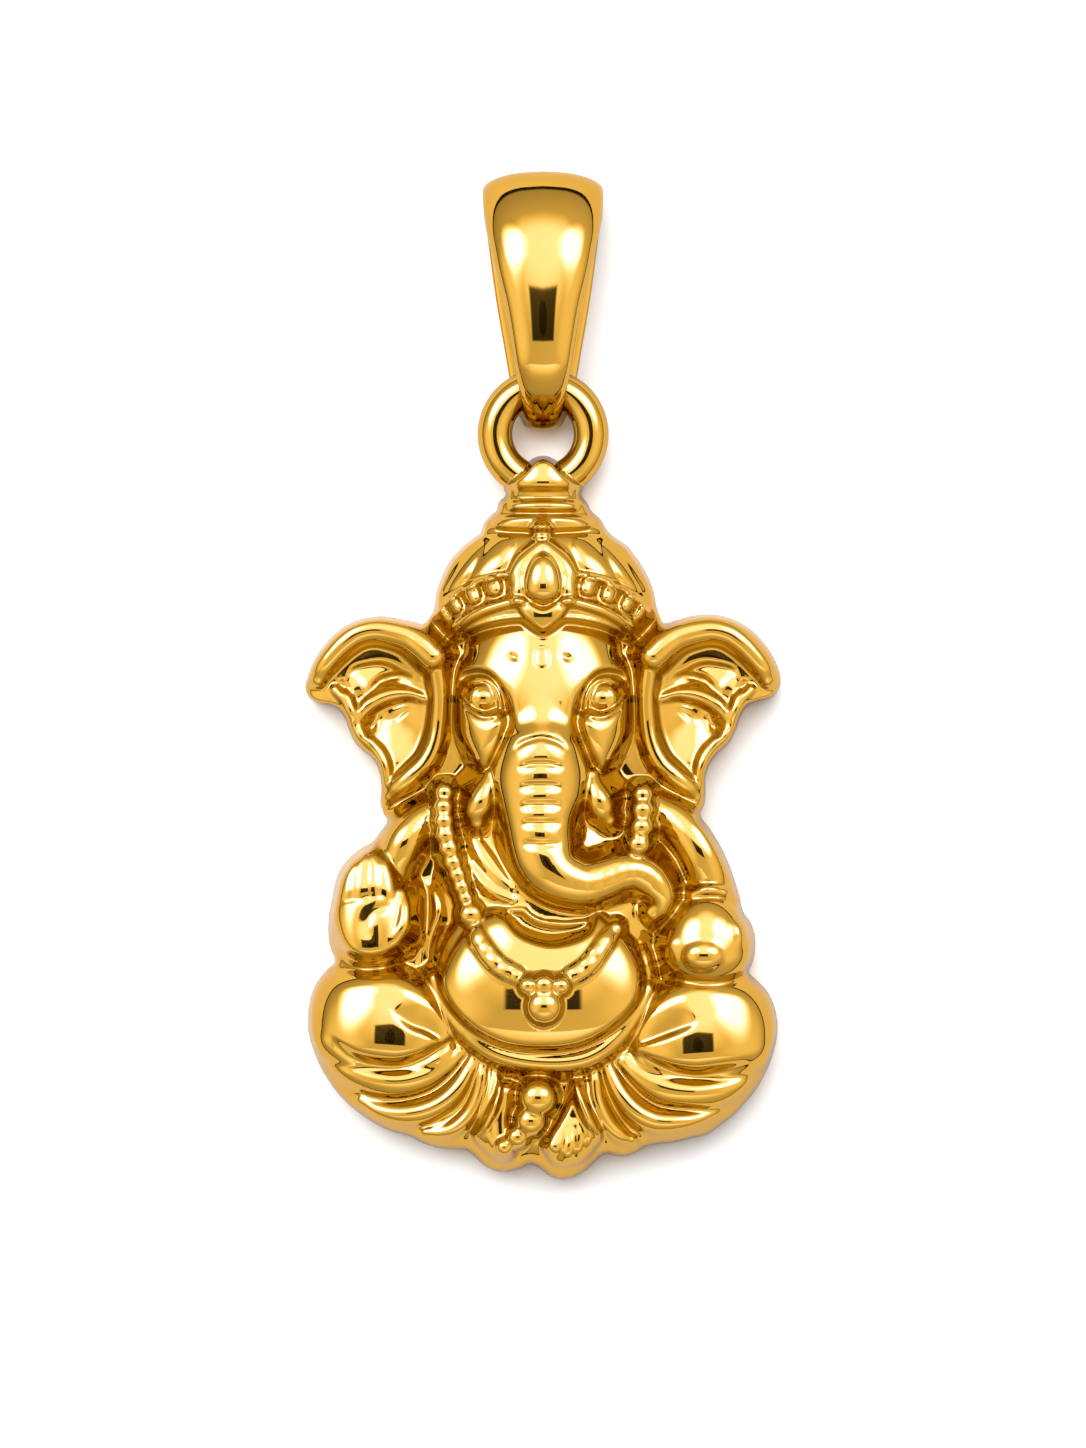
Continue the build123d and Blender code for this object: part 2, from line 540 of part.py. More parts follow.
def lay_head(relief):
    """The head: the broad forehead running down into the trunk, with the cheeks lower beside it."""
    face = [
        (-84, 565), (-83, 535), (-81, 521), (-87, 507), (-89, 490), (-89, 460), (-87, 440), (-80, 424),
        (-71, 408), (-60, 396), (-35, 388), (0, 386), (35, 388), (60, 396), (71, 408), (80, 424),
        (87, 440),
        (89, 460), (89, 490), (87, 507), (81, 521), (83, 535), (84, 565), (0, 590),
    ]
    # x, y, across, up, down, turn, crest, lift
    relief.mound([(0, 430, 116, 190, 100, 0, 106, 80)], soft=4, within=face, edge=13)
    # x, y, depth, radius
    cheek_groove = [
        (-43, 485, 3, 5), (-38, 473, 10, 5.5), (-36, 456, 13, 5.5), (-37, 440, 13, 5.5),
        (-43, 422, 12, 5),
        (-51, 406, 9, 5), (-58, 392, 4, 4),
    ]
    forehead_side = [
        (-43, 505, 0.6, 5), (-31, 494, 1.6, 6), (-24, 484, 1.8, 6), (-20, 470, 1.4, 6),
        (-20, 458, 0.4, 5),
    ]
    eye_socket = [
        (-84, 486), (-79, 500), (-70, 505), (-60, 504), (-49, 498), (-40, 487), (-35, 472), (-35, 460),
        (-45, 459), (-57, 458), (-68, 462), (-76, 471),
    ]
    for side in (list, mirrored):
        relief.groove(side(cheek_groove))
        relief.groove(side(forehead_side))
        relief.sink(side(eye_socket), 11, 8)
    relief.groove([(-34, 521, 0.6, 2.5), (-29, 517, 2.4, 3), (-24, 515, 0.6, 2.5)])
    relief.groove([(19, 519, 0.6, 2.5), (24, 516, 2.4, 3), (28, 515, 0.6, 2.5)])


def lay_trunk(relief):
    """The trunk comes down between the tusks and curls to the right over the belly."""
    # x, y, crest, radius
    trunk = [
        (-1, 478, 108, 27), (-1, 462, 114, 33), (-1, 445, 118, 38), (-2, 425, 121, 46),
        (-2.5, 402, 122.5, 52),
        (-3, 386, 123, 51), (-4, 371, 123, 45), (-4, 355, 123, 39), (-2, 335, 123, 36),
        (2, 319, 123.5, 34),
        (11, 306, 124, 31), (25, 298, 124, 28), (42, 295, 124, 25), (59, 299, 123, 22),
        (77, 305, 122, 20),
        (93, 305, 120, 19), (107, 297, 117, 18), (116, 284, 111, 15), (116, 273, 105, 12),
        (109, 266, 100, 10),
    ]
    tusks = [
        [(-50, 400, 98, 8), (-56, 387, 103, 11), (-63, 375, 105, 12), (-68, 366, 103, 11)],
        [(47, 400, 98, 8), (52, 387, 103, 11), (58, 375, 105, 12), (62, 367, 103, 11)],
    ]
    relief.bar(trunk, soft=3, share=0.87)
    for tusk in tusks:
        relief.bar(tusk, soft=1.5)
    # y, half width, sag, depth
    wrinkles = [
        (441, 24, 12, 2.5), (420, 21, 3, 3), (398, 21, 2, 3.2), (376, 21, 1, 3.2), (357, 20, 0, 3.2),
        (337, 19, -1, 3),
    ]
    for y, half, sag, depth in wrinkles:
        relief.ledge([
            (-half - 2, y - sag, 0.2, 2), (-half * 0.6 - 2, y - sag / 3, depth, 3.4), (-2, y, depth, 3.6),
            (half * 0.6 - 2, y - sag / 3, depth, 3.4), (half - 2, y - sag, 0.2, 2),
        ], tail=9)


def lay_eyes(relief):
    """The eyes, under heavy lids, and the mark on the forehead."""
    relief.settle()
    # x, y, lift, radius
    upper_lid = [
        (-82, 487, 2, 2), (-74, 493, 5, 2.6), (-64, 496, 7, 3), (-55, 495, 8, 3), (-47, 488, 8, 3),
        (-43, 477, 7, 3), (-42, 463, 3, 2.5),
    ]
    lower_lid = [
        (-84, 485, 3, 2), (-77, 474, 7, 3), (-69, 465, 9, 3.4), (-58, 460, 9, 3.4), (-47, 462, 7, 3),
        (-40, 463, 2, 2),
    ]
    under_eye = [(-79, 465, 1, 2.5), (-70, 456, 3, 3), (-58, 453, 3.5, 3), (-46, 456, 1, 2.5)]
    for side in (list, mirrored):
        relief.groove(side(under_eye))
        relief.swell(side([(-58, 478, 16, 15, 0, 13)]), soft=1)
        relief.roll(side(upper_lid), soft=1)
        relief.roll(side(lower_lid), soft=1)
    for x in (-57, 57):
        relief.groove(ring_rows(x, 477, 8, 8, 1.4, 1.3))
        relief.press([(x, 477, 2.4, 2.4, 0, 2)])
    relief.groove(ring_rows(-1, 516, 7, 11, 1.3, 1.2))


def lay_crown(relief):
    """The domed crown: petals above, a band of beads below and a jewel at the front."""
    cap = [
        (-97, 524), (-84, 537), (-64, 547), (-43, 552), (-23, 554), (-13, 550), (0, 542), (13, 550),
        (23, 554),
        (43, 552), (64, 547), (84, 537), (97, 524), (114, 545), (112, 585), (98, 615), (76, 640),
        (50, 660),
        (0, 668), (-50, 660), (-76, 640), (-98, 615), (-112, 585), (-114, 545),
    ]
    # x, y, across, up, down, turn, crest, lift
    relief.mound([(0, 568, 114, 101, 62, 0, 106, 68)], soft=1.5, within=cap, edge=4)
    # x, y, depth, radius
    petal_edges = [
        [(-52, 632, 1, 2), (-65, 619, 4, 2.5), (-73, 606, 5, 2.5), (-77, 592, 2, 2)],
        [(-66, 633, 1, 2), (-80, 620, 3, 2.5), (-88, 606, 4, 2.5), (-92, 592, 1, 2)],
        [(-34, 640, 1, 2), (-38, 630, 3, 2.5), (-38, 618, 3, 2.5), (-38, 606, 1, 2)],
    ]
    for rows in petal_edges:
        relief.ledge(rows[::-1], tail=13)
        relief.ledge(mirrored(rows), tail=13)
    relief.settle()
    # x, y, lift, radius
    upper_rim = [
        (-38, 598, 5, 3.5), (-50, 595, 6, 3.5), (-63, 591, 6, 3.5), (-80, 583, 6, 3.5),
        (-94, 572, 5, 3.5),
        (-103, 561, 3, 3),
    ]
    lower_rim = [
        (-14, 566, 4, 4), (-28, 569, 4, 4), (-43, 568, 4, 4), (-63, 562, 4, 4), (-80, 553, 4, 4),
        (-94, 540, 3, 3.5),
    ]
    foot_rim = [
        (0, 545, 4, 2.5), (-13, 552, 4, 2.5), (-24, 555, 4, 2.5), (-43, 553, 4, 2.5), (-63, 547, 4, 2.5),
        (-80, 538, 4, 2.5), (-94, 526, 3, 2.5),
    ]
    for side in (list, mirrored):
        relief.roll(side(upper_rim), soft=1.5)
        relief.roll(side(lower_rim), soft=2)
        relief.roll(side(foot_rim), soft=1)
    relief.settle()
    # x, y, across, up, turn, lift
    crown_beads = [
        (-48, 586, 14, 13, 0, 12), (-69, 579, 13, 13, 0, 12), (-87, 568, 10, 13, 20, 10),
        (-98, 558, 7, 11, 20, 8),
        (46, 585, 13, 13, 0, 12), (66, 579, 13, 14, 0, 12), (86, 569, 10, 14, -20, 10),
        (98, 558, 7, 12, -20, 8),
    ]
    relief.swell(crown_beads, soft=0.6)
    # x, y, lift, radius
    jewel_frame = [
        (-27, 574, 9, 8), (-29, 586, 13, 9.5), (-29, 598, 14, 9.5), (-23, 612, 14, 9),
        (-13, 623, 13, 8.5),
        (0, 634, 12, 7), (13, 623, 13, 8.5), (23, 612, 14, 9), (29, 598, 14, 9.5), (29, 586, 13, 9.5),
        (27, 574, 9, 8),
    ]
    relief.roll(jewel_frame, soft=1.5)
    leaf = [
        (-27, 576), (-14, 571), (0, 564), (14, 571), (27, 576), (23, 562), (13, 551), (0, 542),
        (-13, 551), (-23, 562),
    ]
    relief.patch(leaf, 7, 6, soft=1)
    # x, y, across, up, down, turn, crest, lift
    relief.mound([(0, 591, 22, 31, 25, 0, 124, 19), (0, 638, 12, 10, 10, 0, 112, 12)], soft=1)


def lay_finial(relief):
    """Two tiers, a thin ring and the domed tip above the crown."""
    # x, y, across, up, down, turn, crest, lift
    relief.mound([(0, 655, 58, 60, 30, 0, 84, 40)])
    # x, y, crest, radius
    low_tier = [
        (-49, 648, 72, 5.5), (-30, 650, 86, 7), (0, 651, 93, 7.5), (30, 650, 86, 7), (49, 648, 72, 5.5),
    ]
    high_tier = [
        (-34, 666, 74, 5), (-18, 667, 86, 6.5), (0, 668, 91, 7), (18, 667, 86, 6.5), (35, 666, 74, 5),
    ]
    thin_ring = [(-25, 676, 72, 3.5), (0, 677, 85, 4), (27, 676, 72, 3.5)]
    relief.bar(low_tier, soft=1.5)
    relief.bar(high_tier, soft=1.5)
    relief.bar(thin_ring, soft=1)
    relief.mound([(-1, 685, 25, 32, 6, 0, 92, 42)], soft=1.5)


def lay_necklaces(relief):
    """The long necklace over the belly, the bead strand on the right and the loose beads."""
    relief.settle()
    # x, y, lift, radius
    strand = [
        (-97, 383, 8, 6), (-97, 367, 13, 9.5), (-95, 345, 14, 10), (-91, 327, 13, 9), (-86, 311, 12, 9),
        (-80, 297, 12, 9), (-75, 285, 11, 9),
    ]
    collar = [
        (-73, 266, 8, 7), (-65, 242, 10, 9), (-46, 217, 11, 9.5), (-24, 204, 11, 9.5), (0, 198, 11, 9.5),
        (23, 202, 11, 9.5), (44, 215, 11, 9.5), (61, 237, 10, 9), (71, 252, 8, 7),
    ]
    relief.roll(strand, soft=1.5, beads=15)
    relief.roll(collar, soft=1.5)
    relief.settle()
    # x, y, radius, crest
    beads = [
        (98, 381, 10, 98), (98, 367, 11.5, 102), (97, 350, 12, 105), (94, 332, 12, 105),
        (-71, 264, 13, 112),
        (71, 250, 8, 112), (-15, 194, 11, 145), (18, 194, 11, 145), (1, 195, 12, 146), (1, 175, 20, 146),
        (-5, 84, 18.5, 112), (-12, 61, 15, 106), (-25, 45, 11, 100), (-38, 35, 9, 96),
    ]
    relief.mound([(x, y, radius, radius, radius, 0, crest, radius) for x, y, radius, crest in beads], soft=1)


def carve_relief():
    """The front over a net as fine as the facets: places, heights and distance from the edge."""
    finer = 3
    relief = Relief(facet / finer * PARTS_ACROSS / figure_width)
    for lay in (
        lay_ground, lay_ears, lay_arms, lay_belly, lay_legs, lay_feet, lay_palm, lay_right_hand, lay_head,
        lay_trunk, lay_eyes, lay_crown, lay_finial, lay_necklaces,
    ):
        lay(relief)
    relief.smooth(finer)
    height = np.minimum(relief.z, FOOT_WALL + DRAFT * np.maximum(relief.inside, 0))
    height = height * PARTS_DEEP / height[relief.inside > 0].max()
    return [net[::finer, ::finer] for net in (relief.x, relief.y, height, relief.inside)]


def relief_solid():
    """A closed solid of flat facets: the relief on top, upright walls and one flat back."""
    x, y, height, inside = carve_relief()
    pitch = x[0, 1] - x[0, 0]
    slope_y, slope_x = np.gradient(inside, pitch)
    steep = np.maximum(slope_x**2 + slope_y**2, 0.3)
    snap = np.abs(inside) < 0.35 * pitch
    x = np.where(snap, x - inside * slope_x / steep, x)
    y = np.where(snap, y - inside * slope_y / steep, y)
    inside = np.where(snap, 0, inside)
    scale = (figure_width / PARTS_ACROSS, figure_height / PARTS_UP, figure_depth / PARTS_DEEP)
    places = {}

    def place(a, b, share):
        """The point at a share of the way from net point a to net point b."""
        key = (a, b) if share else (a,)
        if key not in places:
            at = [net[a] + share * (net[b] - net[a]) for net in (x, y, height)]
            places[key] = Vector(at[0] * scale[0], toes + at[1] * scale[1], at[2] * scale[2])
        return key

    facets = []
    rows, columns = x.shape
    for j in range(rows - 1):
        for i in range(columns - 1):
            corners = [(j, i), (j, i + 1), (j + 1, i + 1), (j + 1, i)]
            for half in (corners[:3], corners[2:] + corners[:1]):
                if max(inside[c] for c in half) <= 0:
                    continue
                rim = []
                for a, b in zip(half, half[1:] + half[:1]):
                    if inside[a] >= 0:
                        rim.append(place(a, a, 0))
                    if inside[a] * inside[b] < 0:
                        low, high = min(a, b), max(a, b)
                        rim.append(place(low, high, inside[low] / (inside[low] - inside[high])))
                facets += [(rim[0], rim[k], rim[k + 1]) for k in range(1, len(rim) - 1)]

    edges = {edge for a, b, c in facets for edge in ((a, b), (b, c), (c, a))}
    border = [edge for edge in edges if (edge[1], edge[0]) not in edges]
    back = {a: Vector(places[a].X, places[a].Y, 0) for a, _ in border}
    faces = [Face(Wire.make_polygon([places[key] for key in facet_keys])) for facet_keys in facets]
    faces += [Face(Wire.make_polygon([back[a], back[b], places[b], places[a]])) for a, b in border]
    following = dict(border)
    loop = [border[0][0]]
    while following[loop[-1]] != loop[0]:
        loop.append(following[loop[-1]])
    faces.append(Face(Wire.make_polygon([back[key] for key in loop])))
    return Solid(Shell(faces))


def loop_side(depth, inset=0):
    """The bail seen from the side, laid out on the plane of its drawing, or its hollow inset by a wall."""
    foot, head = foot_y + inset, head_y - inset
    with BuildSketch() as side:
        with BuildLine():
            base = Line((foot, inset), (head, inset))
            foot_end = Line(base @ 0, (foot, 0.58 * depth - 0.45 * inset))
            head_end = Line(base @ 1, (head, 0.45 * depth - 0.45 * inset))
            ThreePointArc(foot_end @ 1, ((foot + head) / 2, depth - inset), head_end @ 1)
        make_face()
        fillet(side.vertices().group_by(Axis.X)[0], bail_foot_bend - inset)
        fillet(side.vertices().group_by(Axis.X)[-1], bail_head_bend - inset)
    return side.sketch


def leg_front(foot_width):
    """A leg of the bail seen from the front: a tapered strap with an arched head."""
    corner_y = head_y - bail_crown
    with BuildSketch() as leg:
        with BuildLine():
            left = Line((-foot_width / 2, foot_y), (-bail_head_width / 2, corner_y))
            right = Line((foot_width / 2, foot_y), (bail_head_width / 2, corner_y))
            ThreePointArc(left @ 1, (0, head_y), right @ 1)
            Line(left @ 0, right @ 0)
        make_face()
        fillet(leg.vertices().group_by(Axis.Y)[0], 0.45 * foot_width)
        fillet(leg.vertices().group_by(Axis.Y)[-1], bail_corner)
    return leg.sketch


os.makedirs("parts", exist_ok=True)

cast_relief = relief_solid()

# The cast figure carries the ring that is soldered behind the tip of its crown.
with BuildPart() as figure:
    add(cast_relief)
    with Locations((0, ring_y, ring_height)):
        Torus(ring_radius, ring_wire / 2)

# The bail is a strap bent to a loop: a flat back leg and a front leg that bows out, both tapering
# to the foot that passes through the ring.
with BuildPart() as hollow:
    with BuildSketch(Plane.YZ):
        add(loop_side(bail_depth, bail_wall))
    extrude(amount=bail_head_width, both=True)

with BuildPart() as strap:
    with BuildSketch(Plane.YZ):
        add(loop_side(bail_depth - bail_step))
    extrude(amount=bail_head_width, both=True)
    add(hollow.part, mode=Mode.SUBTRACT)

with BuildPart() as proud_strap:
    with BuildSketch(Plane.YZ):
        add(loop_side(bail_depth))
    extrude(amount=bail_head_width, both=True)
    add(hollow.part, mode=Mode.SUBTRACT)

# The panel stands proud of the rim that runs round the front leg.
with BuildPart() as panel:
    with BuildSketch(Plane.XY.offset(bail_depth / 2)):
        add(leg_front(bail_foot_width))
        offset(amount=-bail_rim, mode=Mode.REPLACE)
    extrude(amount=bail_depth)
    add(proud_strap.part, mode=Mode.INTERSECT)

with BuildPart() as bail:
    with BuildSketch():
        add(leg_front(bail_foot_width))
    extrude(amount=bail_depth)
    with BuildSketch():
        add(leg_front(bail_back_foot_width))
    extrude(amount=bail_wall)
    add(strap.part, mode=Mode.INTERSECT)
    add(panel.part)

figure.part.label = "figure"
bail.part.label = "bail"
export_step(figure.part, "parts/figure.step")
export_step(bail.part, "parts/bail.step")
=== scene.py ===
"""Ganesha pendant in gold-plated cast brass, lying on its back on a white surface.

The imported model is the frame: the cast figure with its soldered ring, and the loose bail.
"""

import math

import bpy
import numpy as np
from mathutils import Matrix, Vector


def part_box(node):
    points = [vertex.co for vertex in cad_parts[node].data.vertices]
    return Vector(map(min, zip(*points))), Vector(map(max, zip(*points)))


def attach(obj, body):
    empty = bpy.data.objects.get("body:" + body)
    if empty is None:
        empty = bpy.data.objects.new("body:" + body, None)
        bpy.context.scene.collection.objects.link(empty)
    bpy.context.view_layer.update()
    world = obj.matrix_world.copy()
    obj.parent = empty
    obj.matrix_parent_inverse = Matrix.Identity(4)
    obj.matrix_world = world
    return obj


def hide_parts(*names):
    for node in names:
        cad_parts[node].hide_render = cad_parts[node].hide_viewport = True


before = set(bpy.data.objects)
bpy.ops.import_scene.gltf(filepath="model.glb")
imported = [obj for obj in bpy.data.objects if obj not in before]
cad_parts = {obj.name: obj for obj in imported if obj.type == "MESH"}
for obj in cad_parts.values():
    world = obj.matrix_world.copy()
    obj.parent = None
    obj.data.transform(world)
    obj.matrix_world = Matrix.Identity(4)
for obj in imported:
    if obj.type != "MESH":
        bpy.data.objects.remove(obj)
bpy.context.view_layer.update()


# The cast figure: one brass casting, plated with gold and polished, with a flat back.
# Its front is laid out in parts, 471 across and 717 up, and built up form by form on a blank
# with a rounded edge. A crest is a height in parts from the back, a lift stands on the ground.
PARTS_ACROSS = 471
# In parts: the wall's height at the edge, how steeply the sides may rise from it, how softly
# they meet the relief, and the pitch of the net over the head and elsewhere.
FOOT_WALL = 34
DRAFT = 8
DRAFT_ROUND = 5
NET_FINE = 1.4
NET_COARSE = 2.05

figure_low, figure_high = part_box("figure")
part_across = (figure_high.x - figure_low.x) / PARTS_ACROSS
toes_y = figure_low.y


def curve(points, steps=8, closed=False):
    """A smooth line through rows of numbers."""
    rows = np.array(points, float)
    if closed:
        rows = np.vstack([rows[-1], rows, rows[0], rows[1]])
    else:
        rows = np.vstack([2 * rows[0] - rows[1], rows, 2 * rows[-1] - rows[-2]])
    share = np.linspace(0, 1, steps, endpoint=False)[:, None]
    spans = []
    for a, b, c, d in zip(rows[:-3], rows[1:-2], rows[2:-1], rows[3:]):
        bend = 2 * a - 5 * b + 4 * c - d
        twist = 3 * b - a - 3 * c + d
        spans.append(b + 0.5 * ((c - a) * share + bend * share**2 + twist * share**3))
    line = np.vstack(spans)
    return line if closed else np.vstack([line, rows[-2]])


def outline():
    """The figure's edge, from the tip of the crown down the left side and up the right."""
    # x, y
    left = [
        (0, 717), (-12, 713), (-21, 703), (-31, 695), (-39, 687), (-37, 678), (-44, 671),
        (-46, 663), (-53, 657), (-59, 650), (-62, 641), (-70, 635), (-82, 625), (-91, 615),
        (-97, 605), (-102, 593), (-106, 581), (-107, 571), (-110, 561), (-118, 551), (-130, 553),
        (-144, 556), (-158, 558), (-173, 557), (-187, 553), (-200, 546), (-212, 535), (-221, 524),
        (-228, 512), (-233, 499), (-235.5, 487), (-231, 477), (-222, 472), (-211, 470), (-202, 465),
        (-196, 456), (-192, 445), (-187, 434), (-179, 425), (-170, 418), (-164, 409), (-161, 398),
        (-160, 385), (-161, 374), (-158, 363), (-154, 355), (-161, 345), (-169, 335), (-182, 327),
        (-193, 318), (-201, 307), (-206, 294), (-209, 279), (-212, 263), (-213, 247), (-211, 231),
        (-206, 216), (-215, 207), (-225, 194), (-231, 178), (-233, 160), (-232, 144), (-227, 127),
        (-220, 111), (-211, 96), (-200, 82), (-186, 69), (-169, 57), (-151, 48), (-132, 43),
        (-119, 36), (-103, 31), (-87, 30), (-76, 29), (-67, 22), (-57, 13), (-45, 8), (-33, 8),
        (-22, 11), (-12, 15), (-3, 11), (6, 4),
    ]
    right = [
        (17, 0), (29, 2), (41, 8), (51, 17), (61, 25), (70, 24), (81, 23), (93, 27), (103, 33),
        (115, 35), (131, 37), (147, 41), (163, 45), (177, 55), (190, 65), (202, 78), (213, 92),
        (222, 109), (228, 125), (232, 143), (232, 159), (228, 175), (221, 188), (211, 198),
        (204, 205), (208, 216), (210, 228), (210, 241), (206, 254), (198, 266), (195, 279),
        (190, 296), (184, 313), (175, 332), (165, 348), (156, 361), (160, 372), (161, 385),
        (161, 398), (165, 411), (173, 422), (184, 432), (191, 445), (196, 459), (203, 469),
        (214, 474), (225, 477), (233, 485), (235.5, 495), (233, 507), (227, 520), (218, 533),
        (206, 545), (191, 554), (175, 559), (160, 560), (145, 558), (131, 554), (120, 551),
        (115, 559), (112, 569), (110, 581), (106, 593), (100, 605), (92, 617), (83, 628), (70, 637),
        (63, 644), (57, 654), (48, 662), (44, 670), (38, 678), (40, 687), (31, 695), (21, 703),
        (12, 713),
    ]
    return curve(left + right, steps=6, closed=True)


def round_over(reach):
    """Height of a quarter round, 0 at reach 1 and 1 at reach 0."""
    return np.sqrt(np.clip(1 - reach * reach, 0, 1))


def inward(x, y, loop):
    """Distance to a closed line, above zero inside it."""
    nearest = np.full(x.shape, np.inf)
    inside = np.zeros(x.shape, bool)
    for a, b in zip(loop, np.roll(loop, -1, axis=0)):
        dx, dy = b - a
        share = np.clip(((x - a[0]) * dx + (y - a[1]) * dy) / (dx * dx + dy * dy), 0, 1)
        away = (x - a[0] - share * dx) ** 2 + (y - a[1] - share * dy) ** 2
        nearest = np.minimum(nearest, away)
        if dy:
            spans = (a[1] > y) != (b[1] > y)
            inside ^= spans & (x < a[0] + dx * (y - a[1]) / dy)
    return np.where(inside, 1, -1) * np.sqrt(nearest)


class Relief:
    """Heights of the front over a net of places, built up form by form as wax is on a blank.

    Each form ends in a steep skirt, so it is reckoned only a little way past its radius.
    """

    def __init__(self, across, up, edge):
        self.across, self.up = across, up
        self.x, self.y = np.meshgrid(across, up)
        self.inside = inward(self.x, self.y, outline())
        up, width, rise = np.array(edge, float).T
        width, rise = np.interp(self.y, up, width), np.interp(self.y, up, rise)
        self.z = FOOT_WALL + rise * round_over(np.clip(1 - self.inside / width, 0, 1))
        self.ground = self.z.copy()

    def settle(self):
        """What is there now becomes the ground that the next forms stand on."""
        self.ground = self.z.copy()

    def part(self, xs, ys, margin):
        """The part of the net round some places."""
        left, right = np.searchsorted(self.across, (np.min(xs) - margin, np.max(xs) + margin))
        low, high = np.searchsorted(self.up, (np.min(ys) - margin, np.max(ys) + margin))
        return slice(low, high), slice(left, right)

    def turned(self, part, x, y, turn):
        """Places from a middle, along and across an axis turned by some degrees."""
        cos, sin = math.cos(math.radians(turn)), math.sin(math.radians(turn))
        along_x, along_y = self.x[part] - x, self.y[part] - y
        return along_x * cos + along_y * sin, along_y * cos - along_x * sin

    def merge(self, part, top, soft):
        """The higher of what is there and a new top, run together where they are nearly level."""
        share = np.clip(0.5 + 0.5 * (self.z[part] - top) / soft, 0, 1)
        self.z[part] = top + (self.z[part] - top) * share + soft * share * (1 - share)

    def follow(self, rows, reach):
        """Distance from a line in radii, the third column of its rows, the side and the travel."""
        line = curve(rows)
        part = self.part(line[:, 0], line[:, 1], reach * line[:, 3].max() + 4)
        x, y = self.x[part], self.y[part]
        nearest = np.full(x.shape, np.inf)
        third, radius, side, travel = (np.ones(x.shape) for _ in range(4))
        gone = 0
        for a, b in zip(line[:-1], line[1:]):
            dx, dy = b[0] - a[0], b[1] - a[1]
            length = math.hypot(dx, dy)
            if length == 0:
                continue
            share = np.clip(((x - a[0]) * dx + (y - a[1]) * dy) / length**2, 0, 1)
            away = (x - a[0] - share * dx) ** 2 + (y - a[1] - share * dy) ** 2
            closer = away < nearest
            nearest = np.where(closer, away, nearest)
            third = np.where(closer, a[2] + share * (b[2] - a[2]), third)
            radius = np.where(closer, a[3] + share * (b[3] - a[3]), radius)
            side = np.where(closer, (x - a[0]) * dy - (y - a[1]) * dx, side)
            travel = np.where(closer, gone + share * length, travel)
            gone += length
        return part, np.sqrt(nearest) / np.maximum(radius, 0.1), third, radius, side, travel

    def bar(self, rows, soft=2.5, share=1):
        """A round bar along rows of x, y, crest, radius; share is its rise over its radius."""
        part, reach, crest, radius, *_ = self.follow(rows, 1.6)
        rise = share * radius
        top = crest - rise + rise * round_over(reach) - 2 * radius * np.maximum(reach - 1, 0)
        self.merge(part, top, soft)

    def roll(self, rows, soft=2.5, beads=0):
        """A round bar on the ground along rows of x, y, lift, radius; beads is a bead's length."""
        part, reach, lift, *_, travel = self.follow(rows, 1.7)
        if beads:
            lift = lift * (0.8 + 0.2 * round_over(2 * (travel / beads % 1) - 1))
        top = self.ground[part] + lift * round_over(reach) - 1.5 * lift * np.maximum(reach - 1, 0)
        self.merge(part, top, soft)

    def mound(self, rows, soft=3, within=None, edge=4, skirt=2):
        """An egg-shaped mound for each row of x, y, across, up, down, turn, crest, lift.

        The skirt is how fast it falls away outside, in lifts for each of its radii.
        """
        for x, y, across, up, down, turn, crest, lift in rows:
            part = self.part([x], [y], 1.3 * max(across, up, down) + 4)
            u, v = self.turned(part, x, y, turn)
            reach = np.hypot(u / across, v / np.where(v > 0, up, down))
            top = crest - lift + lift * round_over(reach) - skirt * lift * np.maximum(reach - 1, 0)
            if within:
                inside = inward(self.x[part], self.y[part], curve(within, closed=True))
                top = top - edge + edge * round_over(np.clip(1 - inside / edge, 0, 1))
                top = top + 3 * np.minimum(inside, 0)
            self.merge(part, top, soft)

    def swell(self, rows, soft=3):
        """A mound on the ground for each row of x, y, across, up, turn, lift."""
        for x, y, across, up, turn, lift in rows:
            part = self.part([x], [y], 1.6 * max(across, up) + 4)
            u, v = self.turned(part, x, y, turn)
            reach = np.hypot(u / across, v / up)
            top = self.ground[part] + lift * (round_over(reach) - 1.5 * np.maximum(reach - 1, 0))
            self.merge(part, top, soft)

    def patch(self, points, lift, edge, soft=2.5):
        """A raised field inside a closed line, rounded over at its edge."""
        loop = curve(points, closed=True)
        part = self.part(loop[:, 0], loop[:, 1], lift + 8)
        inside = inward(self.x[part], self.y[part], loop)
        top = lift * round_over(np.clip(1 - inside / edge, 0, 1))
        self.merge(part, self.ground[part] + top + 1.5 * np.minimum(inside, 0), soft)

    def sink(self, points, depth, edge):
        """A hollow inside a closed line, with a rounded wall."""
        loop = curve(points, closed=True)
        part = self.part(loop[:, 0], loop[:, 1], 4)
        inside = inward(self.x[part], self.y[part], loop)
        share = np.clip(0.5 + inside / edge, 0, 1)
        self.z[part] = self.z[part] - depth * share * share * (3 - 2 * share)

    def press(self, rows):
        """A soft hollow for each row of x, y, across, up, turn, depth."""
        for x, y, across, up, turn, depth in rows:
            part = self.part([x], [y], 2.5 * max(across, up))
            u, v = self.turned(part, x, y, turn)
            self.z[part] = self.z[part] - depth * np.exp(-((u / across) ** 2) - (v / up) ** 2)

    def groove(self, rows):
        """A soft furrow along rows of x, y, depth, radius."""
        part, reach, depth, *_ = self.follow(rows, 3)
        self.z[part] = self.z[part] - depth * np.exp(-reach * reach)

    def ledge(self, rows, tail):
        """A drop along rows of x, y, depth, radius: low on the right, up again over the tail."""
        widest = max(row[3] for row in rows)
        part, reach, depth, radius, side, _ = self.follow(rows, 3 * tail / widest)
        low = np.where(side > 0, np.exp(-((reach * radius / tail) ** 1.5)), np.exp(-reach * reach))
        self.z[part] = self.z[part] - depth * low

    def polish(self):
        """Take the edge off everything, as polishing does."""
        wide = np.pad(self.z, 1, mode="edge")
        tall = (wide[:-2] + 2 * wide[1:-1] + wide[2:]) / 4
        self.z = (tall[:, :-2] + 2 * tall[:, 1:-1] + tall[:, 2:]) / 4


